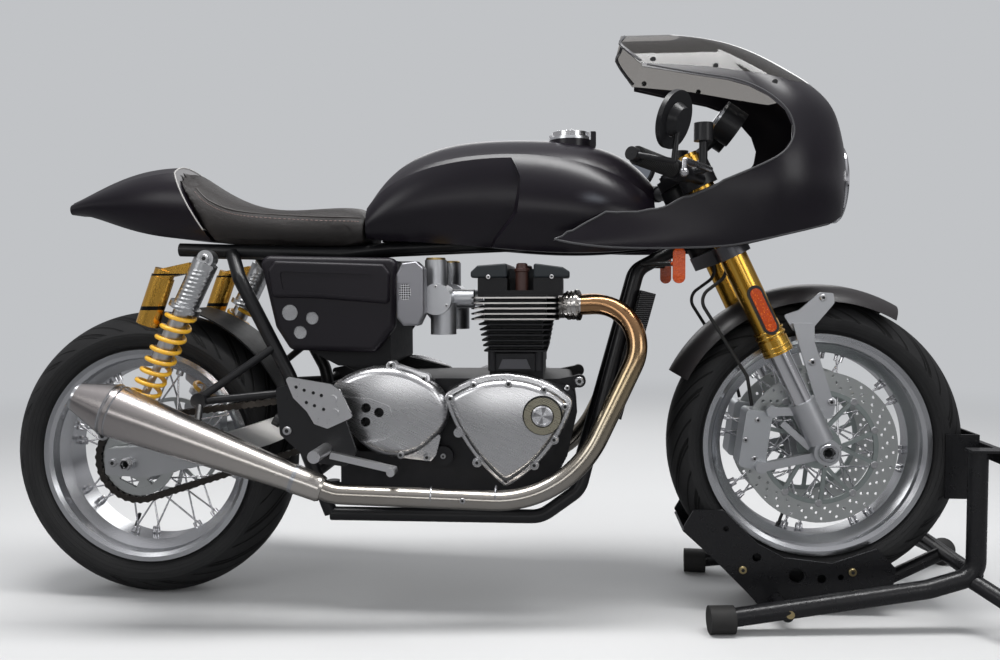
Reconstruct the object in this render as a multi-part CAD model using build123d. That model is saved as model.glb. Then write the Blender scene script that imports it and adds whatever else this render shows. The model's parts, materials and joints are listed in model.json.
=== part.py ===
from build123d import *
from math import atan2, cos, degrees, hypot, radians, sin, sqrt
import os

# Cafe racer motorcycle standing in a front-wheel chock. Millimetres, +Z up, +X forward, +Y the bike's left.
# Every place is first given from the middle of the rear axle (X) and the floor (Z).
# At the end all pieces move along X together, so that the origin is under the middle of the model.

# Driving dimensions
WHEELBASE = 1415.0
FRONT_AXLE_Z = 343.5          # the chock lifts the front wheel off the floor
REAR_TYRE_R = 310.0           # the rear tyre stands on the floor
FRONT_TYRE_R = 300.0
RAKE = 25.2                   # degrees from the vertical
YOKE_OFFSET = 31.0            # steering axis behind the fork legs
LEG_Y = 105.0                 # half of the distance between the fork legs
RUN_GAP = 5.0                 # room between pieces that move past each other
SEAT_GAP = 0.3                # room between pieces that sit on each other
SHAFT_GAP = 0.3               # room round a turning shaft

FRONT = (WHEELBASE, FRONT_AXLE_Z)
REAR = (0.0, REAR_TYRE_R)


# Small helpers

def both(shape):
    """A piece and its mirror image on the other side of the bike."""
    return Compound(children=list(solids_of(shape)) + list(solids_of(mirror(shape, Plane.XZ))))


def solids_of(shape):
    if isinstance(shape, (list, tuple)):
        return [s for one in shape for s in solids_of(one)]
    return list(shape.solids())


def group(*shapes):
    """Solids of one node that don't touch each other."""
    return Compound(children=solids_of(list(shapes)))


def fuse(first, *others):
    result = first
    for other in others:
        result = result + other
    return result


def rod(start, end, radius):
    """A round bar between two points."""
    start, end = Vector(*start), Vector(*end)
    along = end - start
    return Solid.make_cylinder(radius, along.length, Plane(origin=start, z_dir=along))


def pipe(points, radius, bend):
    """A round tube along straight runs joined by arcs; bend is one radius or one for each corner."""
    path = FilletPolyline(*points, radius=bend)
    first = Vector(*points[1]) - Vector(*points[0])
    return sweep(Plane(origin=points[0], z_dir=first) * Circle(radius), path=path)


def disc_y(centre, y_low, y_high, radius):
    """A cylinder across the bike about a centre given as (x, z)."""
    plane = Plane(origin=(centre[0], y_low, centre[1]), z_dir=(0, 1, 0))
    return Solid.make_cylinder(radius, y_high - y_low, plane)


def plate_y(outline, y_low, y_high, corner=0.0):
    """A plate whose outline is given as (x, z) points, between two values of Y."""
    face = make_face(Polyline(*[(x, 0, z) for x, z in outline], close=True))
    if corner:
        face = fillet(face.vertices(), corner)
    solid = extrude(face, y_high - y_low, dir=(0, 1, 0))
    return Pos(0, y_low, 0) * solid


def bowed(points):
    """A closed upright face whose sides are arcs: every second (x, z) point is the middle of an arc."""
    spots = [(x, 0, z) for x, z in points]
    arcs = [ThreePointArc(spots[i], spots[i + 1], spots[(i + 2) % len(spots)]) for i in range(0, len(spots), 2)]
    return make_face(Wire(arcs))


def pad_y(face, y_low, y_high, corner, edge):
    """A cover of an upright face, with rounded corners and its outer edge, at y_low, rounded too."""
    face = fillet(face.vertices(), corner)
    body = Pos(0, y_low, 0) * extrude(face, y_high - y_low, dir=(0, 1, 0))
    return fillet(body.faces().sort_by(Axis.Y)[0].edges(), edge)


def turned(profile, centre):
    """A body of revolution about an axle. The profile's points are (y, radius)."""
    cx, cz = centre
    face = make_face(Polyline(*[(cx, y, cz + r) for y, r in profile], close=True))
    return revolve(face, Axis((cx, 0, cz), (0, 1, 0)), 360)


def around(centre, radius, angle):
    """The point (x, z) at a radius and an angle, counted from +X towards +Z."""
    return (centre[0] + radius * cos(radians(angle)), centre[1] + radius * sin(radians(angle)))


def across(x):
    """The plane across the bike at x; its own axes are Y and Z."""
    return Plane(origin=(x, 0, 0), x_dir=(0, 1, 0), z_dir=(1, 0, 0))


# Steering head: a point on the fork legs' plane is named by its distance along the leg from the axle

UP = Vector(-sin(radians(RAKE)), 0, cos(radians(RAKE)))
AHEAD = Vector(cos(radians(RAKE)), 0, sin(radians(RAKE)))


def on_leg(s, y=0.0, ahead=0.0):
    p = Vector(FRONT[0], y, FRONT[1]) + UP * s + AHEAD * ahead
    return (p.X, p.Y, p.Z)


def leg_bar(s_low, s_high, radius, y, ahead=0.0):
    return rod(on_leg(s_low, y, ahead), on_leg(s_high, y, ahead), radius)


def yoke_plate(s_low, s_high, leg_r, stem_r):
    """A yoke: one plate square to the legs round both legs and the stem."""
    plane = Plane(origin=on_leg(s_low), x_dir=(0, 1, 0), z_dir=UP)
    eyes = [(-LEG_Y, 0, leg_r), (LEG_Y, 0, leg_r), (0, -YOKE_OFFSET, stem_r)]
    side = 1 if (plane.y_dir.dot(AHEAD) > 0) else -1
    outline = make_hull(sum((Pos(u, v * side) * Circle(r) for u, v, r in eyes), Sketch()).edges())
    return extrude(plane * outline, s_high - s_low)


# Wheels

FRONT_TYRE_W = 120.0
REAR_TYRE_W = 160.0
BEAD_R = 219.5
RIM_R = 230.0
FRONT_RIM_W = 88.0            # between the flanges
REAR_RIM_W = 127.0
FLANGE_T = 6.0
WELL_R = 198.0
RIM_T = 7.0
SPOKE_R = 2.0
SPOKES_A_SIDE = 16
FRONT_SHAFT_R = 12.5
FRONT_SHAFT_BORE = 8.5
REAR_SHAFT_R = 12.5
REAR_SHAFT_BORE = 8.0


def tyre(centre, outer, width, rim_width):
    bead = rim_width / 2 - SEAT_GAP
    half = width / 2
    cx, cz = centre
    shoulder = outer - 0.33 * half - 18
    pts = [(cx, y, cz + r) for y, r in [(-bead, BEAD_R), (-bead, RIM_R + 3), (-half, shoulder),
                                        (0, outer), (half, shoulder), (bead, RIM_R + 3), (bead, BEAD_R)]]
    bulge = half - 1.5
    left = ThreePointArc(pts[1], (cx, -bulge, cz + (RIM_R + shoulder) / 2 + 4), pts[2])
    crown_rise = 0.72
    mid = shoulder + (outer - shoulder) * crown_rise
    crown = [ThreePointArc(pts[2], (cx, -half * 0.56, cz + mid + 3), pts[3]),
             ThreePointArc(pts[3], (cx, half * 0.56, cz + mid + 3), pts[4])]
    right = ThreePointArc(pts[4], (cx, bulge, cz + (RIM_R + shoulder) / 2 + 4), pts[5])
    edges = [Line(pts[0], pts[1]), left] + crown + [right, Line(pts[5], pts[6]), Line(pts[6], pts[0])]
    return revolve(make_face(Wire(edges)), Axis((cx, 0, cz), (0, 1, 0)), 360)


def rim(centre, width):
    half = width / 2
    seat = BEAD_R - SEAT_GAP
    lip = half + FLANGE_T
    deep = half * 0.42
    outer = [(-lip, RIM_R), (-half, RIM_R), (-half, seat), (-deep - 14, seat - 3), (-deep, WELL_R),
             (deep, WELL_R), (deep + 14, seat - 3), (half, seat), (half, RIM_R), (lip, RIM_R)]
    inner = [(lip, RIM_R - 10), (half + 1, seat - RIM_T), (deep + 18, seat - 3 - RIM_T),
             (deep + 3, WELL_R - RIM_T), (-deep - 3, WELL_R - RIM_T), (-deep - 18, seat - 3 - RIM_T),
             (-half - 1, seat - RIM_T), (-lip, RIM_R - 10)]
    return turned(outer + inner, centre)


def spokes(centre, hub_y, hub_r, rim_y, lace):
    """Crossed spokes from both flanges of a hub to the rim's well; lace is the turn between their ends."""
    made = []
    step = 360 / SPOKES_A_SIDE
    end_r = WELL_R - RIM_T - 1.2
    for side in (-1, 1):
        for i in range(SPOKES_A_SIDE):
            lead = 1 if i % 2 else -1
            angle = i * step + side * step / 4
            offset = lead * (SPOKE_R + 3.1)
            a = around(centre, hub_r - 0.5, angle)
            b = around(centre, end_r, angle + lead * lace)
            made.append(rod((a[0], side * hub_y + side * offset, a[1]), (b[0], side * rim_y + lead * 1.0, b[1]), SPOKE_R))
    return group(*made)


FRONT_HUB_Y = 27.0
FRONT_HUB_R = 50.0
REAR_HUB_Y = 32.0
REAR_HUB_R = 58.0
FLANGE_W = 5.0
DISC_R = 155.0
DISC_Y = 66.0
DISC_T = 5.0
REAR_DISC_R = 110.0
REAR_DISC_Y = 72.0
CHAIN_Y = 99.0
SPROCKET_R = 78.0
SPROCKET_T = 7.0


def hub(centre, flange_y, flange_r, body_r, ends, bore):
    """A turned hub: barrel, two spoke flanges and a boss on each side."""
    w = FLANGE_W / 2
    barrel = [(-ends[0], body_r), (-flange_y - w, body_r), (-flange_y - w, flange_r), (-flange_y + w, flange_r),
              (-flange_y + w, body_r * 0.86), (flange_y - w, body_r * 0.86), (flange_y - w, flange_r),
              (flange_y + w, flange_r), (flange_y + w, body_r), (ends[1], body_r), (ends[1], bore), (-ends[0], bore)]
    return turned(barrel, centre)


CARRIER_T = 6.0
CARRIER_R = 116.0
BOBBINS = 10


def brake_disc(centre, y_mid, outer, inner, thickness, holes, hole_r):
    ring = disc_y(centre, y_mid - thickness / 2, y_mid + thickness / 2, outer)
    ring = ring - disc_y(centre, y_mid - thickness, y_mid + thickness, inner)
    cutters = []
    for row, (radius, turn) in enumerate(((inner + 9, 0.0), (inner + 18, 0.35), (outer - 8, 0.7))):
        for i in range(holes):
            spot = around(centre, radius, (i + turn) * 360 / holes)
            cutters.append(disc_y(spot, y_mid - thickness, y_mid + thickness, hole_r))
    return ring - Compound(children=cutters)


def disc_carrier(centre, y_mid, outer, hub_r, bore, arms):
    """The bright carrier of a floating disc: an inner ring, arms in pairs and an outer ring of buttons."""
    y0, y1 = y_mid - CARRIER_T / 2, y_mid + CARRIER_T / 2
    ring = disc_y(centre, y0, y1, outer) - disc_y(centre, y0 - 1, y1 + 1, outer - 9)
    core = disc_y(centre, y0, y1, hub_r)
    shape = ring + core
    for i in range(arms):
        for lean in (-16, 16):
            a = around(centre, hub_r - 4, i * 360 / arms)
            b = around(centre, outer - 5, i * 360 / arms + lean)
            shape = shape + bar_y(a, b, 8.0, y0, y1)
    return shape - disc_y(centre, y0 - 1, y1 + 1, bore)


def bar_y(a, b, width, y_low, y_high):
    """A flat bar between two (x, z) points."""
    length = hypot(b[0] - a[0], b[1] - a[1])
    turn = degrees(atan2(b[1] - a[1], b[0] - a[0]))
    plane = Plane(origin=((a[0] + b[0]) / 2, y_low, (a[1] + b[1]) / 2), x_dir=(cos(radians(turn)), 0, sin(radians(turn))),
                  z_dir=(0, 1, 0))
    return extrude(plane * Rectangle(length, width), y_high - y_low)


def sprocket():
    y0, y1 = -CHAIN_Y - SPROCKET_T / 2, -CHAIN_Y + SPROCKET_T / 2
    shape = disc_y(REAR, y0, y1, SPROCKET_R)
    for i in range(5):
        a = around(REAR, 54, i * 72 + 6)
        b = around(REAR, 54, i * 72 + 50)
        shape = shape - bar_y(a, b, 15, y0 - 1, y1 + 1)
    shape = shape + disc_y(REAR, y1, -REAR_HUB_Y - 24, 44)
    return shape - disc_y(REAR, y0 - 1, 0, REAR_SHAFT_R + SHAFT_GAP)


# Front end

OUTER_LOW, OUTER_HIGH = 215.0, 640.0
OUTER_R = 26.5
COLLAR_R = 29.5
STANCHION_R = 21.5
BOTTOM_TOP = 108.0
BOTTOM_R = 27.0
CLAMP_R = 26.0
CLAMP_HALF = 24.0
SHAFT_END_Y = LEG_Y + CLAMP_HALF + 6
HEAD_LOW, HEAD_HIGH = 456.0, 604.0
YOKE_LOW_T = 28.0
YOKE_HIGH_T = 22.0
STEM_R = 16.0
YOKE_GAP = 1.0


def fork_outers():
    tube = leg_bar(OUTER_LOW, OUTER_HIGH, OUTER_R, -LEG_Y)
    collar = leg_bar(OUTER_LOW, OUTER_LOW + 32, COLLAR_R, -LEG_Y)
    band = leg_bar(OUTER_LOW + 36, OUTER_LOW + 44, COLLAR_R - 1.2, -LEG_Y)
    cap = leg_bar(OUTER_HIGH, OUTER_HIGH + 8, OUTER_R - 5, -LEG_Y)
    return both(fuse(tube, collar, band, cap))


FENDER_R = 331.0
FENDER_T = 3.5
FENDER_HALF = 66.0
FENDER_DROP = 34.0
FENDER_REAR, FENDER_FRONT = 153.0, 60.0
ARM_T = 6.0
ARM_OUT = 80.0
CALIPER_IN = 33.0
CALIPER_OUT = 97.0


def fender_arm():
    """The cast arm from a leg end up to the guard: an outer plate, an elbow and an inner plate."""
    inner = -FENDER_HALF - SEAT_GAP
    outer = -ARM_OUT
    low = plate_y([(1398, 596), (1398, 560), (1440, 428), (1436, 406), (1414, 402), (1366, 560), (1356, 596)],
                  outer - ARM_T, outer, 4)
    high = plate_y([(1412, 658), (1438, 656), (1440, 636), (1402, 590), (1398, 580), (1360, 580), (1340, 612), (1370, 622)],
                   inner - ARM_T, inner, 4)
    elbow = plate_y([(1398, 596), (1398, 580), (1360, 580), (1356, 596)], outer - ARM_T, inner, 2)
    lug = bar_y((1392, 404), (1424, 416), 20, outer - 12, outer)
    return fuse(low, high, elbow, lug)


def fork_bottoms():
    """The cast leg ends: socket, axle clamp, the forked arm that carries the brake and the arm that carries the guard."""
    socket = leg_bar(20, BOTTOM_TOP, BOTTOM_R, -LEG_Y)
    clamp = disc_y(FRONT, -LEG_Y - CLAMP_HALF, -LEG_Y + CLAMP_HALF, CLAMP_R)
    arm_y = (-CALIPER_OUT - SEAT_GAP - 14, -CALIPER_OUT - SEAT_GAP)
    low = bar_y((FRONT[0] - 4, FRONT[1] - 8), CALIPER_LOW, 17, *arm_y)
    high = bar_y((FRONT[0] - 30, FRONT[1] + 80), CALIPER_HIGH, 17, *arm_y)
    web = bar_y((FRONT[0] - 30, FRONT[1] + 6), (CALIPER_HIGH[0] + 18, CALIPER_HIGH[1] - 22), 13, *arm_y)
    eyes = [disc_y(p, arm_y[0], arm_y[1], 12) for p in (CALIPER_LOW, CALIPER_HIGH)]
    shape = fuse(socket, clamp, low, high, web, *eyes, fender_arm())
    return both(shape - disc_y(FRONT, -LEG_Y - 60, 0, FRONT_SHAFT_R))


CALIPER_ANGLE = 172.0
CALIPER_RADIUS = 134.0
CALIPER_TALL = 118.0
CALIPER_DEEP = 52.0
CALIPER_SLOT = DISC_T / 2 + RUN_GAP
CALIPER_LOW = around(FRONT, 128, 196)
CALIPER_HIGH = around(FRONT, 128, 143)


def front_calipers():
    """Radial brake calipers: a block over the disc's rim with a slot for the disc."""
    cx, cz = around(FRONT, CALIPER_RADIUS, CALIPER_ANGLE)
    lean = radians(CALIPER_ANGLE - 180)
    plane = Plane(origin=(cx, -CALIPER_OUT, cz), x_dir=(cos(lean), 0, sin(lean)), z_dir=(0, 1, 0))
    block = extrude(plane * Rectangle(CALIPER_DEEP, CALIPER_TALL), CALIPER_OUT - CALIPER_IN)
    block = fillet(block.edges().filter_by(Axis.Y), 9)
    slot = disc_y(FRONT, -DISC_Y - CALIPER_SLOT, -DISC_Y + CALIPER_SLOT, DISC_R + RUN_GAP)
    return both(block - slot)


def front_fender():
    """A curved guard: an arched section swept round the tyre."""
    cx, cz = FRONT
    t = FENDER_T

    def rail(half, top, edge):
        return ThreePointArc((cx, -half, cz + edge), (cx, 0, cz + top), (cx, half, cz + edge))
    outer = rail(FENDER_HALF, FENDER_R, FENDER_R - FENDER_DROP)
    inner = rail(FENDER_HALF - t, FENDER_R - t, FENDER_R - FENDER_DROP)
    edges = [outer, Line(outer @ 1, inner @ 1), inner, Line(inner @ 0, outer @ 0)]
    face = make_face(Wire(edges))
    face = face.rotate(Axis((cx, 0, cz), (0, 1, 0)), 90 - FENDER_REAR)
    shape = revolve(face, Axis((cx, 0, cz), (0, 1, 0)), FENDER_REAR - FENDER_FRONT)
    return shape


def front_axle():
    """The hollow front shaft with its six-sided end."""
    bar = disc_y(FRONT, -SHAFT_END_Y, SHAFT_END_Y, FRONT_SHAFT_R - 0.02)
    return bar - disc_y(FRONT, -SHAFT_END_Y - 1, SHAFT_END_Y + 1, FRONT_SHAFT_BORE)


def lower_yoke():
    """The bottom yoke, clamped round both legs under the head tube."""
    top = HEAD_LOW - YOKE_GAP
    plate = yoke_plate(top - YOKE_LOW_T, top, OUTER_R + 10, 34)
    for y in (-LEG_Y, LEG_Y):
        plate = plate - leg_bar(top - YOKE_LOW_T - 5, top + 5, OUTER_R + SEAT_GAP, y)
    return plate


def upper_yoke():
    """The top yoke with the steering stem that hangs from it through the head tube."""
    low = HEAD_HIGH + YOKE_GAP
    plate = yoke_plate(low, low + YOKE_HIGH_T, OUTER_R + 9, 30)
    for y in (-LEG_Y, LEG_Y):
        plate = plate - leg_bar(low - 5, low + YOKE_HIGH_T + 5, OUTER_R + SEAT_GAP, y)
    stem = leg_bar(HEAD_LOW - YOKE_GAP + SEAT_GAP, low + YOKE_HIGH_T + 12, STEM_R, 0, -YOKE_OFFSET)
    nut = leg_bar(low + YOKE_HIGH_T, low + YOKE_HIGH_T + 9, 21, 0, -YOKE_OFFSET)
    return fuse(plate, stem, nut)


CLIP_S = 578.0
CLIP_T = 26.0
BAR_R = 11.0
BAR_ROOT = on_leg(CLIP_S + CLIP_T / 2, -LEG_Y - OUTER_R - 6.6)
BAR_END = (1024.0, -338.0, 899.0)
GRIP_R = 16.5
GRIP_L = 122.0


def bar_at(share):
    return tuple(a + (b - a) * share for a, b in zip(BAR_ROOT, BAR_END))


BAR_L = sqrt(sum((a - b) ** 2 for a, b in zip(BAR_ROOT, BAR_END)))


def clip_ons():
    clamp = leg_bar(CLIP_S, CLIP_S + CLIP_T, OUTER_R + 9, -LEG_Y)
    clamp = clamp - leg_bar(CLIP_S - 5, CLIP_S + CLIP_T + 5, OUTER_R + SEAT_GAP, -LEG_Y)
    bar = rod(BAR_ROOT, BAR_END, BAR_R)
    return both(fuse(clamp, bar, control_pod()))


def grips():
    start = bar_at(1 - GRIP_L / BAR_L - 0.02)
    sleeve = rod(start, bar_at(0.985), GRIP_R) - rod(bar_at(0), bar_at(1.1), BAR_R + SEAT_GAP)
    return both(sleeve)


GRIP_ROOT = 1 - GRIP_L / BAR_L - 0.045
PERCH = bar_at(GRIP_ROOT - 0.18)
POT_C = (PERCH[0] + 38, PERCH[1] + 16)


def control_pod():
    """Switch housing, lever perch and fluid reservoir, clamped on the bar inside the grip."""
    pod = rod(bar_at(GRIP_ROOT - 0.12), bar_at(GRIP_ROOT), 19)
    perch = rod(bar_at(GRIP_ROOT - 0.24), bar_at(GRIP_ROOT - 0.12), 16)
    arm = rod(PERCH, (POT_C[0], POT_C[1], PERCH[2] + 10), 9)
    neck = rod((*POT_C, PERCH[2] + 4), (*POT_C, 948), 8)
    pot = rod((*POT_C, 946), (*POT_C, 980), 18)
    return fuse(pod, perch, arm, neck, pot)


def levers():
    start = (POT_C[0] + 12.45, POT_C[1] - 6.22, PERCH[2] + 8)
    bend = (BAR_END[0] + 92, BAR_END[1] + 60, BAR_END[2] - 2)
    tip = (BAR_END[0] + 84, BAR_END[1] + 8, BAR_END[2] - 30)
    blade = fuse(rod(start, bend, 5.5), rod(bend, tip, 4.5), Pos(*bend) * Sphere(5.5), Pos(*tip) * Sphere(8))
    return both(blade)


MIRROR_C = (1084.0, -352.0, 957.0)
MIRROR_R = 50.0
MIRROR_T = 9.0
MIRROR_N = Vector(-0.78, 0.55, 0.30)


def mirrors():
    """Round bar-end mirrors: a stem from the bar's end, a flat disc and a domed back."""
    face = Plane(origin=MIRROR_C, z_dir=MIRROR_N)
    disc = extrude(face * Circle(MIRROR_R), -MIRROR_T)
    back = Plane(origin=(Vector(*MIRROR_C) - MIRROR_N.normalized() * MIRROR_T), z_dir=-MIRROR_N)
    dome = extrude(back * Circle(30), 14, taper=28)
    knee = (BAR_END[0] + 62, BAR_END[1] - 30, BAR_END[2] - 16)
    start = bar_at(1 + 12 / BAR_L)
    plug = rod(bar_at(1 + 2 * SEAT_GAP / BAR_L), bar_at(1 + 16 / BAR_L), 12)
    stem = fuse(rod(start, knee, 5), rod(knee, tuple(Vector(*MIRROR_C) - MIRROR_N.normalized() * (MIRROR_T + 4)), 5),
                Pos(*knee) * Sphere(5))
    return both(fuse(disc, dome, plug, stem))


# Chock

RAIL_R = 18.0
CAP_R = 27.0
RAIL_Y = 190.0
FRONT_FOOT = (1809.0, 299.0)
HOOP_X = 1690.0
HOOP_Y = 150.0
HOOP_TOP = 352.0
CRADLE_Y = 76.0
PLATE_T = 5.0


def chock_rails():
    """The bent tubes of the chock: two rails that turn up into a hoop, a middle tube and two front legs."""
    rail = pipe([(1193, -RAIL_Y, CAP_R), (1600, -HOOP_Y - 4, 84), (HOOP_X, -HOOP_Y, 112), (HOOP_X, -HOOP_Y, HOOP_TOP)],
                RAIL_R, [120, 40])
    leg = rod((HOOP_X - 10, -HOOP_Y, 104), (FRONT_FOOT[0], -FRONT_FOOT[1], CAP_R), RAIL_R - 2)
    middle = rod((1568, 0, 50), (HOOP_X, 0, 112), RAIL_R - 4)
    cross_front = rod((HOOP_X, -HOOP_Y, 112), (HOOP_X, HOOP_Y, 112), RAIL_R - 3)
    cross_rear = disc_y(PIVOT_ROD, -178, 178, PIVOT_ROD_R)
    side = rail + leg
    caps = chock_feet()
    return fuse(side, mirror(side, Plane.XZ), cross_front, cross_rear, middle) - caps


def chock_feet():
    rear = rod((1178, -RAIL_Y, CAP_R), (1226, -RAIL_Y + 4, CAP_R), CAP_R)
    ball = rod((FRONT_FOOT[0] - 14, -FRONT_FOOT[1] + 26, CAP_R), (FRONT_FOOT[0] + 12, -FRONT_FOOT[1] - 22, CAP_R), CAP_R)
    return both(group(rear, ball))


def slab(a, b, thickness, y_low, y_high):
    """A flat plate across the bike whose upper face runs through two (x, z) points."""
    along = Vector(b[0] - a[0], 0, b[1] - a[1]).normalized()
    down = Vector(along.Z, 0, -along.X) * thickness
    outline = [a, b, (b[0] + down.X, b[1] + down.Z), (a[0] + down.X, a[1] + down.Z)]
    return plate_y(outline, y_low, y_high)


PIVOT_ROD = (1330.0, 33.0)
PIVOT_ROD_R = 12.0


def chock_cradle():
    """The rocking cradle under the tyre: two side plates and the two plates between them."""
    side = [(1141, 176), (1163, 214), (1222, 214), (1292, 146), (1345, 118), (1440, 108), (1530, 140),
            (1566, 100), (1560, 58), (1430, 24), (1362, 12), (1300, 12), (1272, 44)]
    flank = plate_y(side, -CRADLE_Y - PLATE_T, -CRADLE_Y, 6)
    holes = [(1290, 118, 9), (1370, 82, 15), (1420, 76, 9), (1458, 80, 6), (1228, 176, 6)]
    for x, z, r in holes:
        flank = flank - disc_y((x, z), -CRADLE_Y - 20, -CRADLE_Y + 20, r)
    back = slab((1145, 172), (1287, 43), PLATE_T, -CRADLE_Y, CRADLE_Y)
    front = slab((1430, 33), (1558, 63), PLATE_T, -CRADLE_Y, CRADLE_Y)
    shape = fuse(flank, mirror(flank, Plane.XZ), back, front)
    return shape - disc_y(PIVOT_ROD, -200, 200, PIVOT_ROD_R + SEAT_GAP)


STOP_LOW, STOP_HIGH = 242.0, 372.0
STOP_FACE = FRONT[0] + FRONT_TYRE_R + RUN_GAP + 2
STOP_IN = FRONT_TYRE_W / 2 + RUN_GAP + 1


def chock_stop():
    """The channel that hugs the front of the tyre, with the bar that carries it on the hoop."""
    depth = 60
    cheek = plate_y([(STOP_FACE - depth, STOP_LOW), (STOP_FACE - depth, STOP_HIGH), (STOP_FACE + PLATE_T, STOP_HIGH),
                     (STOP_FACE + PLATE_T, STOP_LOW)], -STOP_IN - PLATE_T, -STOP_IN)
    web = plate_y([(STOP_FACE, STOP_LOW), (STOP_FACE, STOP_HIGH), (STOP_FACE + PLATE_T, STOP_HIGH), (STOP_FACE + PLATE_T, STOP_LOW)],
                  -STOP_IN - PLATE_T, STOP_IN + PLATE_T)
    bar = plate_y([(STOP_FACE + PLATE_T, HOOP_TOP - 22), (STOP_FACE + PLATE_T, HOOP_TOP + PLATE_T),
                   (STOP_FACE + PLATE_T + 12, HOOP_TOP + PLATE_T), (STOP_FACE + PLATE_T + 12, HOOP_TOP - 22)],
                  -HOOP_Y - RAIL_R, HOOP_Y + RAIL_R)
    lug = plate_y([(HOOP_X - RAIL_R, HOOP_TOP), (HOOP_X - RAIL_R, HOOP_TOP + PLATE_T), (STOP_FACE + PLATE_T, HOOP_TOP + PLATE_T),
                   (STOP_FACE + PLATE_T, HOOP_TOP)], -HOOP_Y - RAIL_R, -HOOP_Y + RAIL_R)
    return fuse(web, bar, cheek, mirror(cheek, Plane.XZ), lug, mirror(lug, Plane.XZ))


# Chassis pieces

FRAME_R = 14.0
HEAD_TUBE_R = 32.0
RAIL_IN = 44.0
CRADLE_RAIL_Y = 126.0


def frame():
    """The steel frame: head tube, two backbone tubes, two down tubes with the lower rails, and the rear loop."""
    head = leg_bar(HEAD_LOW, HEAD_HIGH, HEAD_TUBE_R, 0, -YOKE_OFFSET)
    back = pipe([on_leg(556, -20, -YOKE_OFFSET - 6), (1060, -RAIL_IN, 772), (520, -RAIL_IN, 752), (430, -70, 742),
                 (90, -78, 752)], FRAME_R, [60, 120, 60])
    down = pipe([on_leg(490, -24, -YOKE_OFFSET - 6), (1050, -58, 706), (962, -96, 380), (930, -118, 262),
                 (852, -CRADLE_RAIL_Y, 207), (420, -CRADLE_RAIL_Y, 207)], FRAME_R, [40, 120, 50, 60])
    upright = pipe([(205, -84, 744), (232, -118, 690), (340, -128, 486), (372, -CRADLE_RAIL_Y, 330), (420, -CRADLE_RAIL_Y, 207)],
                   FRAME_R, [25, 60, 60])
    side = fuse(back, down, upright)
    whole = fuse(head, side, mirror(side, Plane.XZ))
    cross = [rod((430, -70, 742), (430, 70, 742), 11), rod((120, -78, 752), (120, 78, 752), 11),
             rod((387, -CRADLE_RAIL_Y, 290), (387, CRADLE_RAIL_Y, 290), 12), rod((600, -CRADLE_RAIL_Y, 207), (600, CRADLE_RAIL_Y, 207), 11)]
    hangers = silencer_hangers()
    whole = fuse(whole, *cross, hangers, mirror(hangers, Plane.XZ), front_carrier(), stand_bracket())
    return whole - leg_bar(HEAD_LOW - 20, HEAD_HIGH + 20, STEM_R + SHAFT_GAP, 0, -YOKE_OFFSET)


SWING_Y = 129.0
SWING_T = 30.0
SWING_PIVOT = (359.0, 392.0)
SHOCK_LOW = (REAR[0] + 14, REAR[1] + 78)
PIVOT_FACE = 112.45           # 0.3 mm inside the frame's uprights at the pivot
BRIDGE_X = REAR_TYRE_R + 14   # the arms' bridge in front of the rear tyre


def swingarm():
    """The aluminium swinging arm: two box arms, the pivot tube, the bridge and the shaft blocks."""
    y0, y1 = -SWING_Y - SWING_T / 2, -SWING_Y + SWING_T / 2
    rear_x, rear_z = REAR
    front_x, front_z = SWING_PIVOT
    outline = [(rear_x - 52, rear_z - 26), (rear_x - 52, rear_z + 28), (rear_x + 40, rear_z + 36), (200, rear_z + 62),
               (front_x - 41, front_z + 18), (front_x - 21, front_z + 18), (front_x - 21, front_z - 24),
               (front_x - 59, front_z - 40), (150, rear_z - 4), (rear_x + 40, rear_z - 30)]
    arm = plate_y(outline, y0, y1, 6)
    lug = plate_y([(rear_x - 4, rear_z + 26), (rear_x + 2, SHOCK_LOW[1] + 12), (rear_x + 30, SHOCK_LOW[1] + 12),
                   (rear_x + 52, rear_z + 30)], -SWING_Y - 6, -SWING_Y + 6, 4)
    bridge = plate_y([(BRIDGE_X, rear_z + 58), (BRIDGE_X, rear_z + 92), (BRIDGE_X + 16, rear_z + 96),
                      (BRIDGE_X + 16, rear_z + 60)], -SWING_Y, SWING_Y, 4)
    pivot = disc_y(SWING_PIVOT, -105, 105, 20) + disc_y(SWING_PIVOT, -PIVOT_FACE, PIVOT_FACE, 9)
    shape = fuse(arm, lug, mirror(arm + lug, Plane.XZ), bridge, pivot)
    return shape - disc_y(REAR, -200, 200, REAR_SHAFT_R)


def rear_axle():
    bar = disc_y(REAR, -SWING_Y - SWING_T / 2 - 12, SWING_Y + SWING_T / 2 + 12, REAR_SHAFT_R - 0.02)
    return bar - disc_y(REAR, -300, 300, REAR_SHAFT_BORE)


SHOCK_Y = 166.0
SHOCK_TOP = (185.0, 730.0)
DAMPER_R = 25.0
SPRING_R = 26.0
WIRE_R = 4.6
SPRING_TURNS = 9


def shock_point(share):
    return (SHOCK_TOP[0] + (SHOCK_LOW[0] - SHOCK_TOP[0]) * share, -SHOCK_Y, SHOCK_TOP[1] + (SHOCK_LOW[1] - SHOCK_TOP[1]) * share)


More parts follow.
